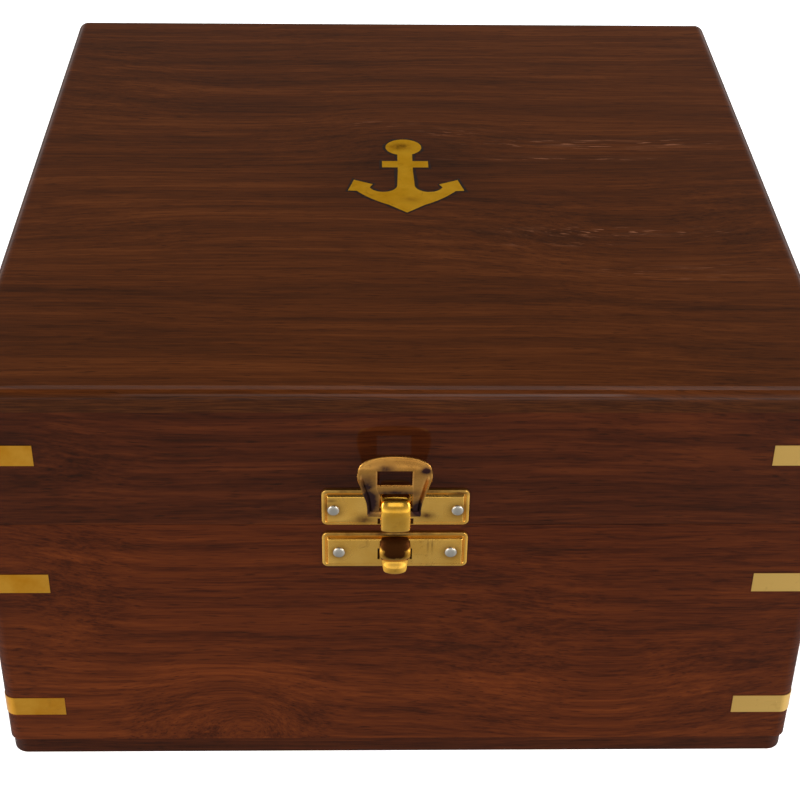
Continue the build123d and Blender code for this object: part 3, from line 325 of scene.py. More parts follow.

# The strips grow paler towards +X: painted light from the brighter right-hand side.
strip_brass = brass(
    "strip_brass", linear(238, 172, 58), linear(222, 150, 34), linear(150, 96, 30), 0.30, 0.25,
    painted_light_colour=linear(246, 200, 112),
)
anchor_brass = brass(
    "anchor_brass", linear(240, 182, 62), linear(222, 160, 44), linear(84, 52, 16), 0.34, 0.4,
    spots=((0.5, 14, TOP_Z, 3, 2, 3, 0.9), (3, -13, TOP_Z, 2.5, 1.5, 3, 0.5)),
)
anchor_brass.set(Specular_Tint=(1.0, 0.72, 0.25, 1))
latch_brass = brass(
    "latch_brass", linear(250, 196, 96), linear(238, 180, 78), linear(84, 50, 34), 0.24, 0.45,
    spots=((-2, -93, 78.6, 22, 9, 0.6, 0.8), (-2, -93, 67.1, 22, 9, 0.6, 0.8),
           (-8.4, -93, 71.6, 2.0, 9, 1.6, 0.85), (4.7, -93, 72.7, 1.8, 9, 1.0, 0.85),
           (11.5, -93, 78.2, 2.5, 9, 0.6, 0.8), (-15.2, -93, 76.6, 1.4, 9, 0.6, 0.6),
           (-14.8, -93, 74.2, 1.75, 9, 1.75, 1.1), (11.2, -93, 74.1, 1.75, 9, 1.75, 1.1),
           (-13.7, -93, 62.6, 1.7, 9, 1.7, 1.1), (10.1, -93, 62.6, 1.7, 9, 1.7, 1.1),
           (5.2, -93, 64.4, 0.25, 9, 1.8, 0.5), (6.1, -93, 64.4, 0.25, 9, 1.8, 0.5)),
)
polished_brass = brass(
    "polished_brass", linear(244, 190, 80), linear(226, 166, 54), linear(140, 82, 30), 0.16, 0.4,
)
# The hook's two spots darken its top: painted shade under the knuckle above it, over some real tarnish.
hook_brass = brass(
    "hook_brass", linear(240, 184, 78), linear(220, 158, 54), linear(58, 30, 10), 0.16, 0.5,
    spots=((-1.8, -95, 65.6, 3.4, 9, 1.5, 2.4), (-1.8, -95, 64.0, 2.6, 9, 1.3, 1.9)),
)
hasp_brass = brass(
    "hasp_brass", linear(216, 158, 78), linear(192, 134, 62), linear(58, 36, 36), 0.26, 0.9,
    spots=((-7.6, -96, 78.6, 2.2, 9, 4.2, 1.7), (-7.8, -96, 84, 1.6, 9, 3.0, 1.1),
           (3.6, -96, 76.6, 2.6, 9, 2.6, 1.8), (4.2, -98, 88.6, 1.1, 9, 0.8, 1.6),
           (-2, -97, 81.6, 5, 9, 1.1, 1.1), (-4, -98, 89.0, 2.0, 9, 0.9, 0.9)),
)
hinge_brass = brass("hinge_brass", linear(232, 186, 98), linear(210, 160, 70), linear(110, 66, 34), 0.22)
gimbal_brass = brass(
    "gimbal_brass", linear(226, 186, 104), linear(208, 162, 78), linear(140, 96, 40), 0.22, 0.3,
)
plate_brass = brass(
    "plate_brass", linear(228, 192, 112), linear(212, 172, 88), linear(150, 108, 50), 0.28, 0.2,
)
nickel = steel("nickel", linear(206, 202, 192), linear(168, 162, 150), 0.34)
blued = steel("blued_steel", linear(34, 52, 128), linear(18, 26, 78), 0.18)
bright_steel = steel("bright_steel", linear(200, 202, 206), linear(160, 162, 168), 0.2)

silver = steel("silvered_dial", linear(232, 230, 222), linear(218, 215, 205), 0.4)
glass_tree = Tree("watch_glass")
glass_tree.set(Base_Color=(0.96, 0.98, 0.98, 1), Roughness=0.02, IOR=1.45, Transmission_Weight=1.0)

MATERIAL_OF = {
    "inlay_brass": strip_brass,
    "anchor_brass": anchor_brass,
    "latch_brass": latch_brass,
    "hinge_brass": hinge_brass,
    "screw_brass": hinge_brass,
    "nickel_pin": nickel,
    "gimbal_brass": gimbal_brass,
    "glass": glass_tree,
    "dial_silver": silver,
    "plate_brass": plate_brass,
    "gear_brass": plate_brass,
    "blued_steel": blued,
    "steel": bright_steel,
}
WOOD_OF = {
    "base_front_board": wood_front,
    "base_back_board": wood_front,
    "base_left_board": wood_side,
    "base_right_board": wood_side,
    "base_bottom_board": wood_bottom,
    "lid_front_board": wood_lid,
    "lid_back_board": wood_lid,
    "lid_left_board": wood_side,
    "lid_right_board": wood_side,
    "lid_top_board": wood_top,
}


def give(obj, tree):
    """Put one material on an object."""
    obj.data.materials.clear()
    obj.data.materials.append(tree.material)


def smooth_by_angle(obj, degrees=35):
    """Smooth shading that keeps sharp edges."""
    for polygon in obj.data.polygons:
        polygon.use_smooth = True
    obj.data.set_sharp_from_angle(angle=math.radians(degrees))


slots = {entry["node"]: entry["material_slot"] for entry in frame["record"]["subparts"]}
for node, obj in frame["nodes"].items():
    give(obj, WOOD_OF.get(node) or MATERIAL_OF[slots[node]])
    smooth_by_angle(obj)


# ---------------------------------------------------------------- mesh helpers
def piece(name, verts, faces, tree, body, replaces=(), slot="latch_brass", angle=40):
    """A finished mesh in metres that rides on a body and may stand for CAD nodes."""
    mesh = bpy.data.meshes.new(name)
    mesh.from_pydata([tuple(v) for v in verts], [], faces)
    edit = bmesh.new()
    edit.from_mesh(mesh)
    bmesh.ops.remove_doubles(edit, verts=edit.verts, dist=1e-7)
    bmesh.ops.recalc_face_normals(edit, faces=edit.faces)
    edit.to_mesh(mesh)
    edit.free()
    obj = bpy.data.objects.new(name, mesh)
    scene.collection.objects.link(obj)
    give(obj, tree)
    smooth_by_angle(obj, angle)
    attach(obj, body)
    if replaces:
        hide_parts(*replaces)
    return obj


def skin(rings, size):
    """Faces between rings of points, with a face over each end."""
    faces = [
        (a * size + k, a * size + (k + 1) % size, (a + 1) * size + (k + 1) % size, (a + 1) * size + k)
        for a in range(rings - 1) for k in range(size)
    ]
    faces.append(tuple(range(size))[::-1])
    faces.append(tuple((rings - 1) * size + k for k in range(size)))
    return faces


def swept(stations, across, size, power, crown=0.0):
    """A bar along a path: a station is (centre, normal, half width, half thickness), in metres.

    A crown bows the bar across its width, away from the normal, by that many metres at its middle.
    """
    verts = []
    for centre, normal, half_w, half_t in stations:
        for k in range(size):
            turn = 2 * math.pi * k / size
            c, s = math.cos(turn), math.sin(turn)
            u = half_w * math.copysign(abs(c) ** (2 / power), c)
            n = half_t * math.copysign(abs(s) ** (2 / power), s)
            verts.append(centre + across * u + normal * (n - crown * (1 - (u / half_w) ** 2)))
    return verts, skin(len(stations), size)


def turned(profile, at, axis, segments, ripple=None):
    """A turned solid from (radius, height) points in metres, from end to end along an axis.

    A ripple gives what to add to the radius from a point's number round the axis, radius and height.
    """
    axis = Vector(axis).normalized()
    side = axis.orthogonal().normalized()
    other = axis.cross(side)
    verts = []
    for r, h in profile:
        for k in range(segments):
            turn = 2 * math.pi * k / segments
            reach = r + (ripple(k, r, h) if ripple else 0.0)
            out = side * (reach * math.cos(turn)) + other * (reach * math.sin(turn))
            verts.append(Vector(at) + axis * h + out)
    return verts, skin(len(profile), segments)


def smooth_path(points, steps=5):
    """Points along a Catmull-Rom curve through tuples of numbers."""
    ends = [points[0]] + list(points) + [points[-1]]
    path = []
    for p0, p1, p2, p3 in zip(ends, ends[1:], ends[2:], ends[3:]):
        for step in range(steps):
            t = step / steps
            path.append(tuple(
                0.5 * (2 * b + (c - a) * t + (2 * a - 5 * b + 4 * c - d) * t * t
                       + (3 * b - a - 3 * c + d) * t ** 3)
                for a, b, c, d in zip(p0, p1, p2, p3)))
    return path + [tuple(points[-1])]


def bar_along(points, middle_x, wall_y):
    """Stations for a bar in a plane across X, from (out, height, half width, half thickness) in mm."""
    path = smooth_path(points)
    stations = []
    for number, (out, height, half_w, half_t) in enumerate(path):
        before, after = path[max(number - 1, 0)], path[min(number + 1, len(path) - 1)]
        along = Vector((0, -(after[0] - before[0]), after[1] - before[1])).normalized()
        normal = Vector((1, 0, 0)).cross(along)
        centre = Vector((middle_x, wall_y - out * MM, height * MM))
        stations.append((centre, normal, half_w * MM, half_t * MM))
    return stations


def join_meshes(*parts):
    """Several (points, faces) meshes as one."""
    verts, faces = [], []
    for more_verts, more_faces in parts:
        start = len(verts)
        verts += list(more_verts)
        faces += [tuple(start + index for index in face) for face in more_faces]
    return verts, faces


# --------------------------------------------------------------- anchor filler
def top_outline(node):
    """The outline of a node's upper face, as points in order round it."""
    edit = bmesh.new()
    edit.from_mesh(frame["nodes"][node].data)
    bmesh.ops.remove_doubles(edit, verts=edit.verts, dist=1e-7)
    top = max(v.co.z for v in edit.verts)
    upper = {f for f in edit.faces if min(v.co.z for v in f.verts) > top - 1e-6}
    onward = {}
    for face in upper:
        for loop in face.loops:
            if not any(other in upper for other in loop.edge.link_faces if other is not face):
                onward[loop.vert.index] = loop.link_loop_next.vert.index
    places = {v.index: v.co.copy() for v in edit.verts}
    edit.free()
    start = min(onward)
    outline, at = [places[start]], onward[start]
    while at != start:
        outline.append(places[at])
        at = onward[at]
    return outline


def anchor_filler():
    """An uneven dark line of filler between the inlay and the wood, just proud of the board."""
    outline = top_outline("anchor_inlay")
    board_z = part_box("lid_top_board")[1].z
    count = len(outline)
    verts = []
    for k, point in enumerate(outline):
        before = (point - outline[k - 1]).normalized()
        after = (outline[(k + 1) % count] - point).normalized()
        along = (before + after).normalized()
        out = Vector((along.y, -along.x, 0))
        miter = min(1 / max(abs(along.dot(after)), 0.5), 1.6)
        wander = 0.22 * math.sin(point.x / MM * 1.7 + point.y / MM * 0.9) + 0.16 * math.sin(k * 2.3)
        wide = (0.62 + wander) * miter
        for reach, z in ((-0.2, -0.2), (-0.2, 0.035), (wide * 0.6, 0.03), (wide, 0.008), (wide, -0.2)):
            place = point + out * (reach * MM)
            verts.append(Vector((place.x, place.y, board_z + z * MM)))
    faces = [
        (k * 5 + a, k * 5 + (a + 1) % 5, (k + 1) % count * 5 + (a + 1) % 5, (k + 1) % count * 5 + a)
        for k in range(count) for a in range(5)
    ]
    tree = Tree("filler")
    mottle = tree.noise(tree.mapping(), 700, 3.0, 0.6)
    tree.set(Base_Color=tree.mix(mottle, linear(20, 11, 7), linear(44, 24, 14)), Roughness=tree.math(
        "MULTIPLY_ADD", mottle, 0.2, 0.6), Specular_IOR_Level=0.1)
    piece("anchor_filler", verts, faces, tree, "lid", slot=slots["lid_top_board"])


anchor_filler()


# ----------------------------------------------------------------------- latch
joint_at = {joint["name"]: Vector(joint["pos_m"]) for joint in frame["joints"] if "pos_m" in joint}
wall_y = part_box("base_front_board")[0].y
pivot = joint_at["hasp_swing"]
latch_x = pivot.x
PLATE_H = 9.35
PANEL_OUT = 1.3
UPPER_PIN_REACH = 13.0
LOWER_PIN_REACH = 11.9


def plate_outline(half_w, half_h, inset, corner=1.2, crown=0.25, steps=6):
    """A rounded rectangle with slightly bowed ends, inset all round, in mm."""
    r = max(corner - inset, 0.15)
    w, h = half_w - inset, half_h - inset
    points = []
    for quarter, (cx, cy) in enumerate(((w - r, h - r), (r - w, h - r), (r - w, r - h), (w - r, r - h))):
        for step in range(steps + 1):
            turn = math.radians(90 * (quarter + step / steps))
            points.append((cx + r * math.cos(turn), cy + r * math.sin(turn)))
    return [(u - math.copysign(crown * (v / half_h) ** 2, u), v) for u, v in points]


def latch_plate(low, high):
    """A pressed plate: thin flange, groove, and raised panel."""
    middle = Vector(((low.x + high.x) / 2, wall_y, 0))
    half_w = (high.x - low.x) / 2 / MM
    z = high.z / MM - PLATE_H / 2
    levels = ((0, 0), (0, 0.42), (0.05, 0.52), (0.16, 0.6), (0.72, 0.6), (0.86, 0.46), (0.98, 0.46),
              (1.08, 0.62), (1.24, 1.14), (1.32, 1.25), (1.46, PANEL_OUT))
    verts = []
    for inset, out in levels:
        ring = plate_outline(half_w, PLATE_H / 2, inset)
        verts += [middle + Vector((u * MM, -out * MM, (z + v) * MM)) for u, v in ring]
    return verts, skin(len(levels), len(ring))


def cut_slots(obj, places, size):
    """Upright slots cut into a piece at (x, z) places, in mm."""
    verts, faces = [], []
    behind, depth = 0.4, 4.0
    w, h = size[0] / 2, size[1] / 2
    for x, z in places:
        block = [(x + i * w, wall_y / MM + behind - j * depth, z + k * h) for j in (0, 1) for i, k in
                 ((-1, -1), (1, -1), (1, 1), (-1, 1))]
        sides = [(0, 1, 5, 4), (1, 2, 6, 5), (2, 3, 7, 6), (3, 0, 4, 7), (3, 2, 1, 0), (4, 5, 6, 7)]
        verts, faces = join_meshes((verts, faces), ([Vector(v) * MM for v in block], sides))
    mesh = bpy.data.meshes.new("slot_cutter")
    mesh.from_pydata(verts, [], faces)
    cutter = bpy.data.objects.new("slot_cutter", mesh)
    scene.collection.objects.link(cutter)
    modifier = obj.modifiers.new("slots", "BOOLEAN")
    modifier.operation = "DIFFERENCE"
    modifier.solver = "EXACT"
    modifier.object = cutter
    shape = bpy.data.meshes.new_from_object(obj.evaluated_get(bpy.context.evaluated_depsgraph_get()))
    obj.modifiers.clear()
    obj.data = shape
    bpy.data.objects.remove(cutter)
    smooth_by_angle(obj, 40)


def upper_latch():
    """The lid's plate and the bent knuckle that holds the hasp's bar."""
    verts, faces = latch_plate(*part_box("latch_upper_plate"))
    plate = piece("latch_upper_plate_pressed", verts, faces, latch_brass, "lid")
    x = latch_x / MM
    cut_slots(plate, [(x - 3.45, 70.9), (x + 3.5, 70.9)], (0.6, 2.1))
    knuckle_path = (
        (0.7, 77.6, 3.0, 0.4), (1.4, 78.2, 3.05, 0.42), (2.4, 78.35, 3.05, 0.45), (3.3, 77.85, 3.05, 0.45),
        (3.95, 77.0, 3.05, 0.45), (4.35, 76.1, 3.05, 0.45), (4.45, 75.5, 3.05, 0.45),
        (4.38, 74.9, 3.05, 0.45), (3.95, 72.9, 3.05, 0.45), (3.55, 71.1, 3.05, 0.45),
        (3.3, 70.55, 3.0, 0.42), (2.7, 70.25, 2.95, 0.4), (0.7, 70.2, 2.9, 0.4),
    )
    verts, faces = swept(bar_along(knuckle_path, latch_x, wall_y), Vector((1, 0, 0)), 64, 3.6, 0.22 * MM)
    piece("latch_knuckle", verts, faces, polished_brass, "lid", replaces=["latch_upper_plate"])
    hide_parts("latch_upper_plate")


def lower_latch():
    """The base's plate and its spoon-shaped hook."""
    verts, faces = latch_plate(*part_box("latch_lower_plate"))
    plate = piece(
        "latch_lower_plate_pressed", verts, faces, latch_brass, "base", replaces=["latch_lower_plate"],
    )
    x = latch_x / MM
    cut_slots(plate, [(x - 3.45, 62.2), (x + 3.4, 62.2)], (0.5, 3.0))
    hook_path = (
        (0.6, 66.1, 3.0, 0.4), (1.2, 65.75, 3.15, 0.42), (1.8, 65.2, 3.25, 0.45), (2.35, 64.5, 3.3, 0.46),
        (2.8, 63.85, 3.3, 0.46), (3.0, 63.3, 3.26, 0.46), (2.95, 62.8, 3.2, 0.46), (2.6, 62.3, 3.12, 0.46),
        (2.15, 61.8, 3.02, 0.45), (1.95, 61.2, 2.9, 0.45), (2.15, 60.6, 2.78, 0.44), (2.5, 59.9, 2.66, 0.43),
        (2.75, 59.3, 2.54, 0.41), (2.8, 58.8, 2.42, 0.38), (2.65, 58.4, 2.2, 0.32), (2.35, 58.15, 1.8, 0.2),
    )
    verts, faces = swept(bar_along(hook_path, latch_x, wall_y), Vector((1, 0, 0)), 64, 3.0, 0.32 * MM)
    piece("latch_hook", verts, faces, hook_brass, "base", replaces=["latch_lower_plate"])


def pin_head(name, body, node, x, z, out):
    """A low domed pin head."""
    at = (x, wall_y - out * MM, z)
    dome = (
        (0.0, -0.2), (1.28, -0.2), (1.3, 0.12), (1.22, 0.3), (1.0, 0.42), (0.6, 0.48), (0.25, 0.5),
        (0.0, 0.5),
    )
    verts, faces = turned([(r * MM, h * MM) for r, h in dome], at, (0, -1, 0), 36)
    piece(name, verts, faces, nickel, body, replaces=[node], slot="nickel_pin")


def pins():
    """The four pins through the latch plates."""
    for body, node, reach in (
        ("lid", "latch_upper_pins", UPPER_PIN_REACH), ("base", "latch_lower_pins", LOWER_PIN_REACH),
    ):
        low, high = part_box(node)
        for side, word in ((-1, "left"), (1, "right")):
            x = latch_x + side * reach * MM
            pin_head(f"{node}_{word}", body, node, x, (low.z + high.z) / 2, PANEL_OUT)


HASP_SHIFT = -0.35
HASP_LEAN = 13.0
HASP_BEND = 40.0
BEND_V = 13.9
BEND_SPREAD = 0.9


def hasp_point(u, v, off):
    """A point on the hasp from its place on the flat sheet, in mm: across, up from the bar, and outward."""
    steps = 40
    out, up, angle = 0.0, 0.0, math.radians(HASP_LEAN)
    for step in range(steps):
        at = v * (step + 0.5) / steps
        share = min(max((at - BEND_V + BEND_SPREAD) / (2 * BEND_SPREAD), 0.0), 1.0)
        angle = math.radians(HASP_LEAN - HASP_BEND * share * share * (3 - 2 * share))
        out += math.sin(angle) * v / steps
        up += math.cos(angle) * v / steps
    out += off * math.cos(angle)
    up -= off * math.sin(angle)
    return pivot + Vector((u * MM, -out * MM, up * MM))


def ease(value, start, length):
    """0 up to a start, then a straight rise to 1 over a length."""
    return min(max((value - start) / length, 0.0), 1.0)


def hasp():
    """A D-shaped flap with a window, a raised rim along its outer edge, and a round bar at its foot."""
    dome_half, dome_v, dome_rise = 7.6, 13.6, 3.25
    widening = (6.2, 2.6)  # the window widens from the first height, over the second
    rim_end, rim_fade = 13.2, 2.5
    side = smooth_path((
        (5.5, -0.2), (5.85, 3.8), (6.5, 6.5), (7.1, 9.0), (7.6, 11.0), (7.76, 12.4), (dome_half, dome_v),
    ), 6)
    outer, inner = [], []
    for u, v in side:
        outer.append((-u, v))
        inner.append((-3.0 - 0.6 * ease(v, *widening), v))
    dome_steps = 36
    for step in range(1, dome_steps):
        turn = math.pi * (1 - step / dome_steps)
        c = math.cos(turn)
        across, rise = dome_half * math.copysign(abs(c) ** 0.9, c), dome_rise * math.sin(turn) ** 0.9
        outer.append((across, dome_v + rise))
        inner.append((3.6 * max(-1.0, min(1.0, 1.35 * c)), BEND_V - 0.1))
    for u, v in reversed(side):
        outer.append((u, v))
        inner.append((3.7 - 0.1 * ease(v, *widening), v))
    # across the strip: share of the way from the inner edge to the outer one, height, and the rim's rise
    profile = (
        (0.0, -0.45, 0), (0.0, 0.3, 0), (0.04, 0.42, 0), (0.12, 0.45, 0), (0.50, 0.45, 0),
        (0.66, 0.43, -0.1), (0.74, 0.42, -0.25), (0.79, 0.44, 0.0), (0.84, 0.45, 0.35), (0.93, 0.44, 0.38),
        (0.98, 0.36, 0.2), (1.0, 0.2, 0), (1.0, -0.3, 0), (0.97, -0.45, 0),
    )
    verts = []
    for (u0, v0), (u1, v1) in zip(inner, outer):
        raised = min(max((rim_end - v1) / rim_fade, 0.0), 1.0)
        for share, off, rim in profile:
            u, v = u0 + (u1 - u0) * share, v0 + (v1 - v0) * share
            verts.append(hasp_point(u + HASP_SHIFT, v, off + rim * raised))
    frame_part = (verts, skin(len(outer), len(profile)))
    lean = math.radians(HASP_LEAN)
    out = Vector((0, -math.cos(lean), -math.sin(lean)))
    up = Vector((0, -math.sin(lean), math.cos(lean)))
    crossbar = [
        (hasp_point(HASP_SHIFT + u, 7.8, -0.02), out, 1.26 * MM, 0.43 * MM)
        for u in (-3.9, -2.0, 0.0, 2.0, 4.0)
    ]
    cross_part = swept(crossbar, up, 20, 6.0)
    bar_ends = ((0.0, -5.6), (0.7, -5.6), (0.9, -5.4), (0.9, 5.4), (0.7, 5.6), (0.0, 5.6))
    bar_at = pivot + Vector((HASP_SHIFT * MM, 0, 0))
    bar_part = turned([(r * MM, h * MM) for r, h in bar_ends], bar_at, (1, 0, 0), 28)
    piece("hasp_flap", *join_meshes(frame_part, cross_part, bar_part), hasp_brass, "hasp", replaces=["hasp"])


upper_latch()
lower_latch()
pins()
hasp()


# ------------------------------------------------------------------ instrument
DIAL_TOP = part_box("dial")[1].z
INK = 0.03 * MM
GIMBAL_Z = 58.0 * MM
SECONDS_AT = (0.0, -22.0)
UP_DOWN_AT = (0.0, 22.0)
HOURS_RUN = 56
SCALE_START = 225.0
SCALE_SWEEP = 270.0
ink = Tree("dial_ink")
ink_wear = ink.noise(ink.mapping(), 900, 3.0, 0.6)
ink.set(Base_Color=ink.mix(ink_wear, linear(14, 13, 16), linear(34, 32, 34)), Roughness=ink.math(
    "MULTIPLY_ADD", ink_wear, 0.2, 0.35))


def around(at, r, clockwise):
    """The point at a radius and an angle clockwise from 12, in mm."""
    turn = math.radians(clockwise)
    return at[0] + r * math.sin(turn), at[1] + r * math.cos(turn)


def inked(outline):
    """A thin block of ink on the dial over an outline in mm."""
    verts = [Vector((x * MM, y * MM, DIAL_TOP + z)) for z in (-INK, INK) for x, y in outline]
    return verts, skin(2, len(outline))


def stroke(a, b, half_a, half_b=None):
    """An inked line between two points, with its half width at each end."""
    half_b = half_a if half_b is None else half_b
    length = math.dist(a, b)
    nx, ny = -(b[1] - a[1]) / length, (b[0] - a[0]) / length
    return inked([(a[0] + nx * half_a, a[1] + ny * half_a), (a[0] - nx * half_a, a[1] - ny * half_a),
                  (b[0] - nx * half_b, b[1] - ny * half_b), (b[0] + nx * half_b, b[1] + ny * half_b)])


def circle(at, r, half, segments=180):
    """An inked circle."""
    verts, faces = [], []
    for reach, z in ((r - half, -INK), (r + half, -INK), (r + half, INK), (r - half, INK)):
        for k in range(segments):
            x, y = around(at, reach, 360 * k / segments)
            verts.append(Vector((x * MM, y * MM, DIAL_TOP + z)))
    for a in range(4):
        b = (a + 1) % 4
        faces += [(a * segments + k, a * segments + (k + 1) % segments, b * segments + (k + 1) % segments,
                   b * segments + k) for k in range(segments)]
    return verts, faces


def ticks(at, r_in, r_out, count, long_every, longer, half, start=0.0, sweep=360.0):
    """Marks round a circle, every so many of them longer and heavier."""
    marks = []
    for k in range(count):
        heavy = k % long_every == 0
        turn = start + sweep * k / (count if sweep == 360.0 else count - 1)
        inner = around(at, r_in - (longer if heavy else 0), turn)
        marks.append(stroke(inner, around(at, r_out, turn), half * (2.2 if heavy else 1)))
    return marks


# a letter's width, its strokes as (u, v) to (u, v) and half width, and the places of its serifs
ROMAN = {
    "I": (1.9, ((0, -1, 0, 1, 0.42),), ((0, 1), (0, -1))),
    "V": (3.8, ((-1.25, 1, 0, -1, 0.42), (1.25, 1, 0, -1, 0.14)), ((-1.25, 1), (1.25, 1))),
    "X": (3.9, ((-1.25, 1, 1.25, -1, 0.42), (1.25, 1, -1.25, -1, 0.14)),
          ((-1.25, 1), (1.25, 1), (-1.25, -1), (1.25, -1))),
}


def roman(text, r, half_height, clockwise):
    """A Roman numeral with serifs that stands on the dial's middle."""
    turn = math.radians(clockwise)
    marks = []

    def place(u, v):
        out = r + v * half_height
        return out * math.sin(turn) + u * math.cos(turn), out * math.cos(turn) - u * math.sin(turn)

    at = -sum(ROMAN[letter][0] for letter in text) / 2
    for letter in text:
        width, strokes, serifs = ROMAN[letter]
        middle = at + width / 2
        for u0, v0, u1, v1, half in strokes:
            marks.append(stroke(place(middle + u0, v0), place(middle + u1, v1), half))
        for u, v in serifs:
            marks.append(stroke(place(middle + u - 0.85, v), place(middle + u + 0.85, v), 0.13))
        at += width
    return marks


def digits(text, at, size):
    """Upright figures on the dial, centred on a point in mm."""
    curve = bpy.data.curves.new("digits", "FONT")
    curve.body = text
    curve.size = size * MM
    curve.extrude = INK
    curve.align_x = "CENTER"
    curve.align_y = "CENTER"
    obj = bpy.data.objects.new("digits", curve)
    scene.collection.objects.link(obj)
    bpy.context.view_layer.update()
    mesh = bpy.data.meshes.new_from_object(obj.evaluated_get(bpy.context.evaluated_depsgraph_get()))
    verts = [v.co + Vector((at[0] * MM, at[1] * MM, DIAL_TOP)) for v in mesh.vertices]
    faces = [tuple(p.vertices) for p in mesh.polygons]
    bpy.data.objects.remove(obj)
    return verts, faces


def dial_marks():
    """The dial's tracks, numerals and the scales of its two small dials."""
    middle = (0.0, 0.0)
    marks = [circle(middle, 43.2, 0.16), circle(middle, 41.0, 0.1)]
    marks += ticks(middle, 41.0, 43.2, 60, 5, 0.0, 0.12)
    numerals = ("XII", "I", "II", "III", "IIII", "V", "VI", "VII", "VIII", "IX", "X", "XI")
    for hour, text in enumerate(numerals):
        marks += roman(text, 36.9, 2.9, hour * 30)
    marks += [circle(SECONDS_AT, 11.3, 0.12, 96), circle(SECONDS_AT, 10.2, 0.07, 96)]
    marks += ticks(SECONDS_AT, 10.2, 11.3, 60, 5, 0.5, 0.07)
    marks += [digits(str(n * 10 or 60), around(SECONDS_AT, 8.0, n * 60), 2.5) for n in range(6)]
    marks += [circle(UP_DOWN_AT, 11.0, 0.12, 96), circle(UP_DOWN_AT, 10.0, 0.07, 96)]
    marks += ticks(UP_DOWN_AT, 10.0, 11.0, HOURS_RUN + 1, 8, 0.5, 0.07, SCALE_START, SCALE_SWEEP)
    marks += [
        digits(str(HOURS_RUN - 8 * n), around(UP_DOWN_AT, 7.7, SCALE_START + SCALE_SWEEP * n / 7), 2.3)
        for n in range(8)
    ]
    piece("dial_markings", *join_meshes(*marks), ink, "bowl", slot="blued_steel")


def hoop(profile, segments, ripple):
    """A turned ring round the upright axis, from a closed profile of (radius, height) in mm."""
    verts, _ = turned([(r * MM, h * MM) for r, h in profile], (0, 0, 0), (0, 0, 1), segments, ripple)
    count = len(profile)
    faces = [
        (a * segments + k, a * segments + (k + 1) % segments, (a + 1) % count * segments + (k + 1) % segments,
         (a + 1) % count * segments + k) for a in range(count) for k in range(segments)
    ]
    return verts, faces


def bezel():
    """The screwed bezel: a milled edge below, a cove and a bead above."""
    profile = (
        (48.1, 61.2), (50.5, 61.2), (50.85, 61.35), (50.95, 61.7), (51.0, 62.0), (51.0, 62.15), (51.0, 65.4),
        (51.0, 65.55), (50.9, 65.8), (50.5, 65.95), (50.2, 66.15), (50.1, 66.5), (50.0, 67.0), (49.7, 67.6),
        (49.2, 68.2), (48.5, 68.7), (47.7, 68.95), (46.9, 69.0), (46.1, 68.8), (45.4, 68.4), (44.9, 68.15),
        (44.6, 68.0), (44.6, 67.8), (46.6, 67.8), (46.6, 66.2), (45.0, 66.2), (45.0, 63.1), (48.1, 63.1),
    )
    rim, low, high, depth = 50.98 * MM, 62.1 * MM, 65.45 * MM, 0.25 * MM

    def ripple(k, r, h):
        return -depth if k % 2 and r > rim and low < h < high else 0.0

    piece("bezel_milled", *hoop(profile, 360, ripple), gimbal_brass, "bowl", replaces=["bezel"],
          slot="gimbal_brass", angle=30)


def bowl_screws():
    """The pivot screws of the bowl, with milled heads outside the ring."""
    profile = ((0, 0), (0.9, 0), (1.48, 0.7), (1.5, 1.0), (1.5, 9.62), (2.8, 9.62), (3.1, 9.75), (3.2, 9.95),
               (3.2, 11.45), (3.1, 11.65), (2.8, 11.78), (1.7, 11.8), (1.5, 11.5), (0, 11.45))
    rim, depth, inner_end = 3.15 * MM, 0.16 * MM, 48.5

    def ripple(k, r, h):
        return -depth if k % 2 and r > rim else 0.0

    parts = []
    for side in (-1, 1):
        at = Vector((0, side * inner_end * MM, GIMBAL_Z))
        parts.append(turned([(r * MM, h * MM) for r, h in profile], at, (0, side, 0), 72, ripple))
    piece("bowl_pivots_milled", *join_meshes(*parts), gimbal_brass, "gimbal_ring", replaces=["bowl_pivots"],
          slot="gimbal_brass", angle=30)


def helical_spring():
    """The balance's spring: a flat wire in nine turns."""
    low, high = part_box("balance_spring")
    middle = (low + high) / 2
    turns, steps = 9, 24
    wire_r, wire_t, wire_h = 3.82 * MM, 0.1 * MM, 0.15 * MM
    stations = []
    for k in range(turns * steps + 1):
        turn = 2 * math.pi * k / steps
        out = Vector((math.cos(turn), math.sin(turn), 0))
        z = low.z + wire_h + (high.z - low.z - 2 * wire_h) * k / (turns * steps)
        stations.append((Vector((middle.x, middle.y, z)) + out * wire_r, out, wire_h, wire_t))
    verts, faces = swept(stations, Vector((0, 0, 1)), 8, 3.0)
    piece("balance_spring_coil", verts, faces, blued, "balance_wheel", replaces=["balance_spring"],
          slot="blued_steel")


dial_marks()
bezel()
bowl_screws()
helical_spring()


# ------------------------------------------------------- floor, lights, camera
def floor():
    """A plain white floor under the box."""
    mesh = bpy.data.meshes.new("floor")
    half = 6.0
    corners = [(-half, -half, 0), (half, -half, 0), (half, half, 0), (-half, half, 0)]
    mesh.from_pydata(corners, [], [(0, 1, 2, 3)])
    obj = bpy.data.objects.new("floor", mesh)
    scene.collection.objects.link(obj)
    tree = Tree("floor_white")
    tree.set(Base_Color=(0.9, 0.9, 0.9, 1), Roughness=0.9, Emission_Color=(1, 1, 1, 1), Emission_Strength=0.8)
    give(obj, tree)
    obj.visible_glossy = False


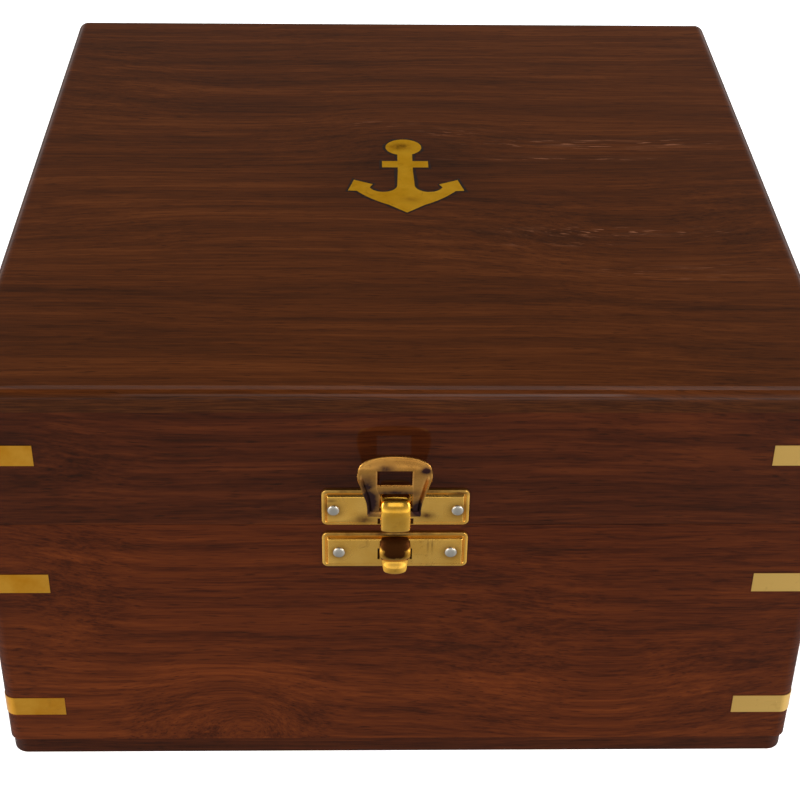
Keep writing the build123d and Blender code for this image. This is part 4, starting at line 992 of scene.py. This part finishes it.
def studio():
    """Surroundings that are white at the horizon, dim overhead and brighter to the sides.

    Their ground is grey, and seen only in gloss, which looks through the floor.
    """
    world = bpy.data.worlds.new("studio")
    scene.world = world
    world.use_nodes = True
    nodes, links = world.node_tree.nodes, world.node_tree.links
    place = nodes.new("ShaderNodeTexCoord")
    parts = nodes.new("ShaderNodeSeparateXYZ")
    height = nodes.new("ShaderNodeMapRange")
    height.inputs["From Min"].default_value = -1.0
    bands = nodes.new("ShaderNodeValToRGB")
    stops = (
        (0.0, 0.40), (0.49, 0.46), (0.50, 1.1), (0.56, 1.0),
        (0.63, 0.5), (0.70, 0.32), (0.78, 0.26), (0.90, 0.08),
    )
    elements = bands.color_ramp.elements
    while len(elements) < len(stops):
        elements.new(0.5)
    for element, (at, grey) in zip(elements, stops):
        element.position = at
        element.color = (grey, grey, grey, 1)
    sideways = nodes.new("ShaderNodeMath")
    sideways.operation = "ABSOLUTE"
    gain = nodes.new("ShaderNodeMapRange")
    for socket, value in (("From Min", 0.15), ("From Max", 0.6), ("To Min", 0.95), ("To Max", 1.9)):
        gain.inputs[socket].default_value = value
    links.new(place.outputs["Generated"], parts.inputs[0])
    links.new(parts.outputs["Z"], height.inputs["Value"])
    links.new(height.outputs[0], bands.inputs[0])
    links.new(parts.outputs["X"], sideways.inputs[0])
    links.new(sideways.outputs[0], gain.inputs["Value"])
    links.new(bands.outputs[0], nodes["Background"].inputs["Color"])
    links.new(gain.outputs[0], nodes["Background"].inputs["Strength"])


def area_light(name, at, look_at, size, watts):
    """A soft square light that faces a point."""
    data = bpy.data.lights.new(name, "AREA")
    data.shape = "SQUARE"
    data.size = size
    data.energy = watts
    obj = bpy.data.objects.new(name, data)
    scene.collection.objects.link(obj)
    obj.location = at
    obj.rotation_euler = (Vector(look_at) - Vector(at)).to_track_quat("-Z", "Y").to_euler()


def camera():
    """The camera, by its place, its heading, and how far it looks down and leans."""
    heading, down, roll = (math.radians(a) for a in (1.5905, 33.594, 0.952))
    forward = Vector((
        math.sin(heading) * math.cos(down), math.cos(heading) * math.cos(down), -math.sin(down)))
    right = Vector((math.cos(heading), -math.sin(heading), 0))
    up = right.cross(forward)
    right, up = right * math.cos(roll) + up * math.sin(roll), up * math.cos(roll) - right * math.sin(roll)
    data = bpy.data.cameras.new("camera")
    data.sensor_width = 36.0
    data.lens = 77.53
    data.shift_y = -0.0875
    data.clip_start = 0.01
    obj = bpy.data.objects.new("camera", data)
    turn = Matrix((right, up, -forward)).transposed()
    obj.matrix_world = Matrix.Translation((-0.0092455, -0.372529, 0.304989)) @ turn.to_4x4()
    scene.collection.objects.link(obj)
    scene.camera = obj


floor()
camera()
box_middle = (0, 0, 0.06)
area_light("left", (-1.2, -0.8, 0.85), box_middle, 0.8, 14)
area_light("right", (1.2, -0.8, 0.85), box_middle, 0.8, 14)
area_light("front", (0, -0.75, 0.62), box_middle, 0.35, 0.45)
area_light("back", (0.1, 0.6, 1.7), box_middle, 1.3, 8)
studio()
scene.view_settings.view_transform = "Standard"
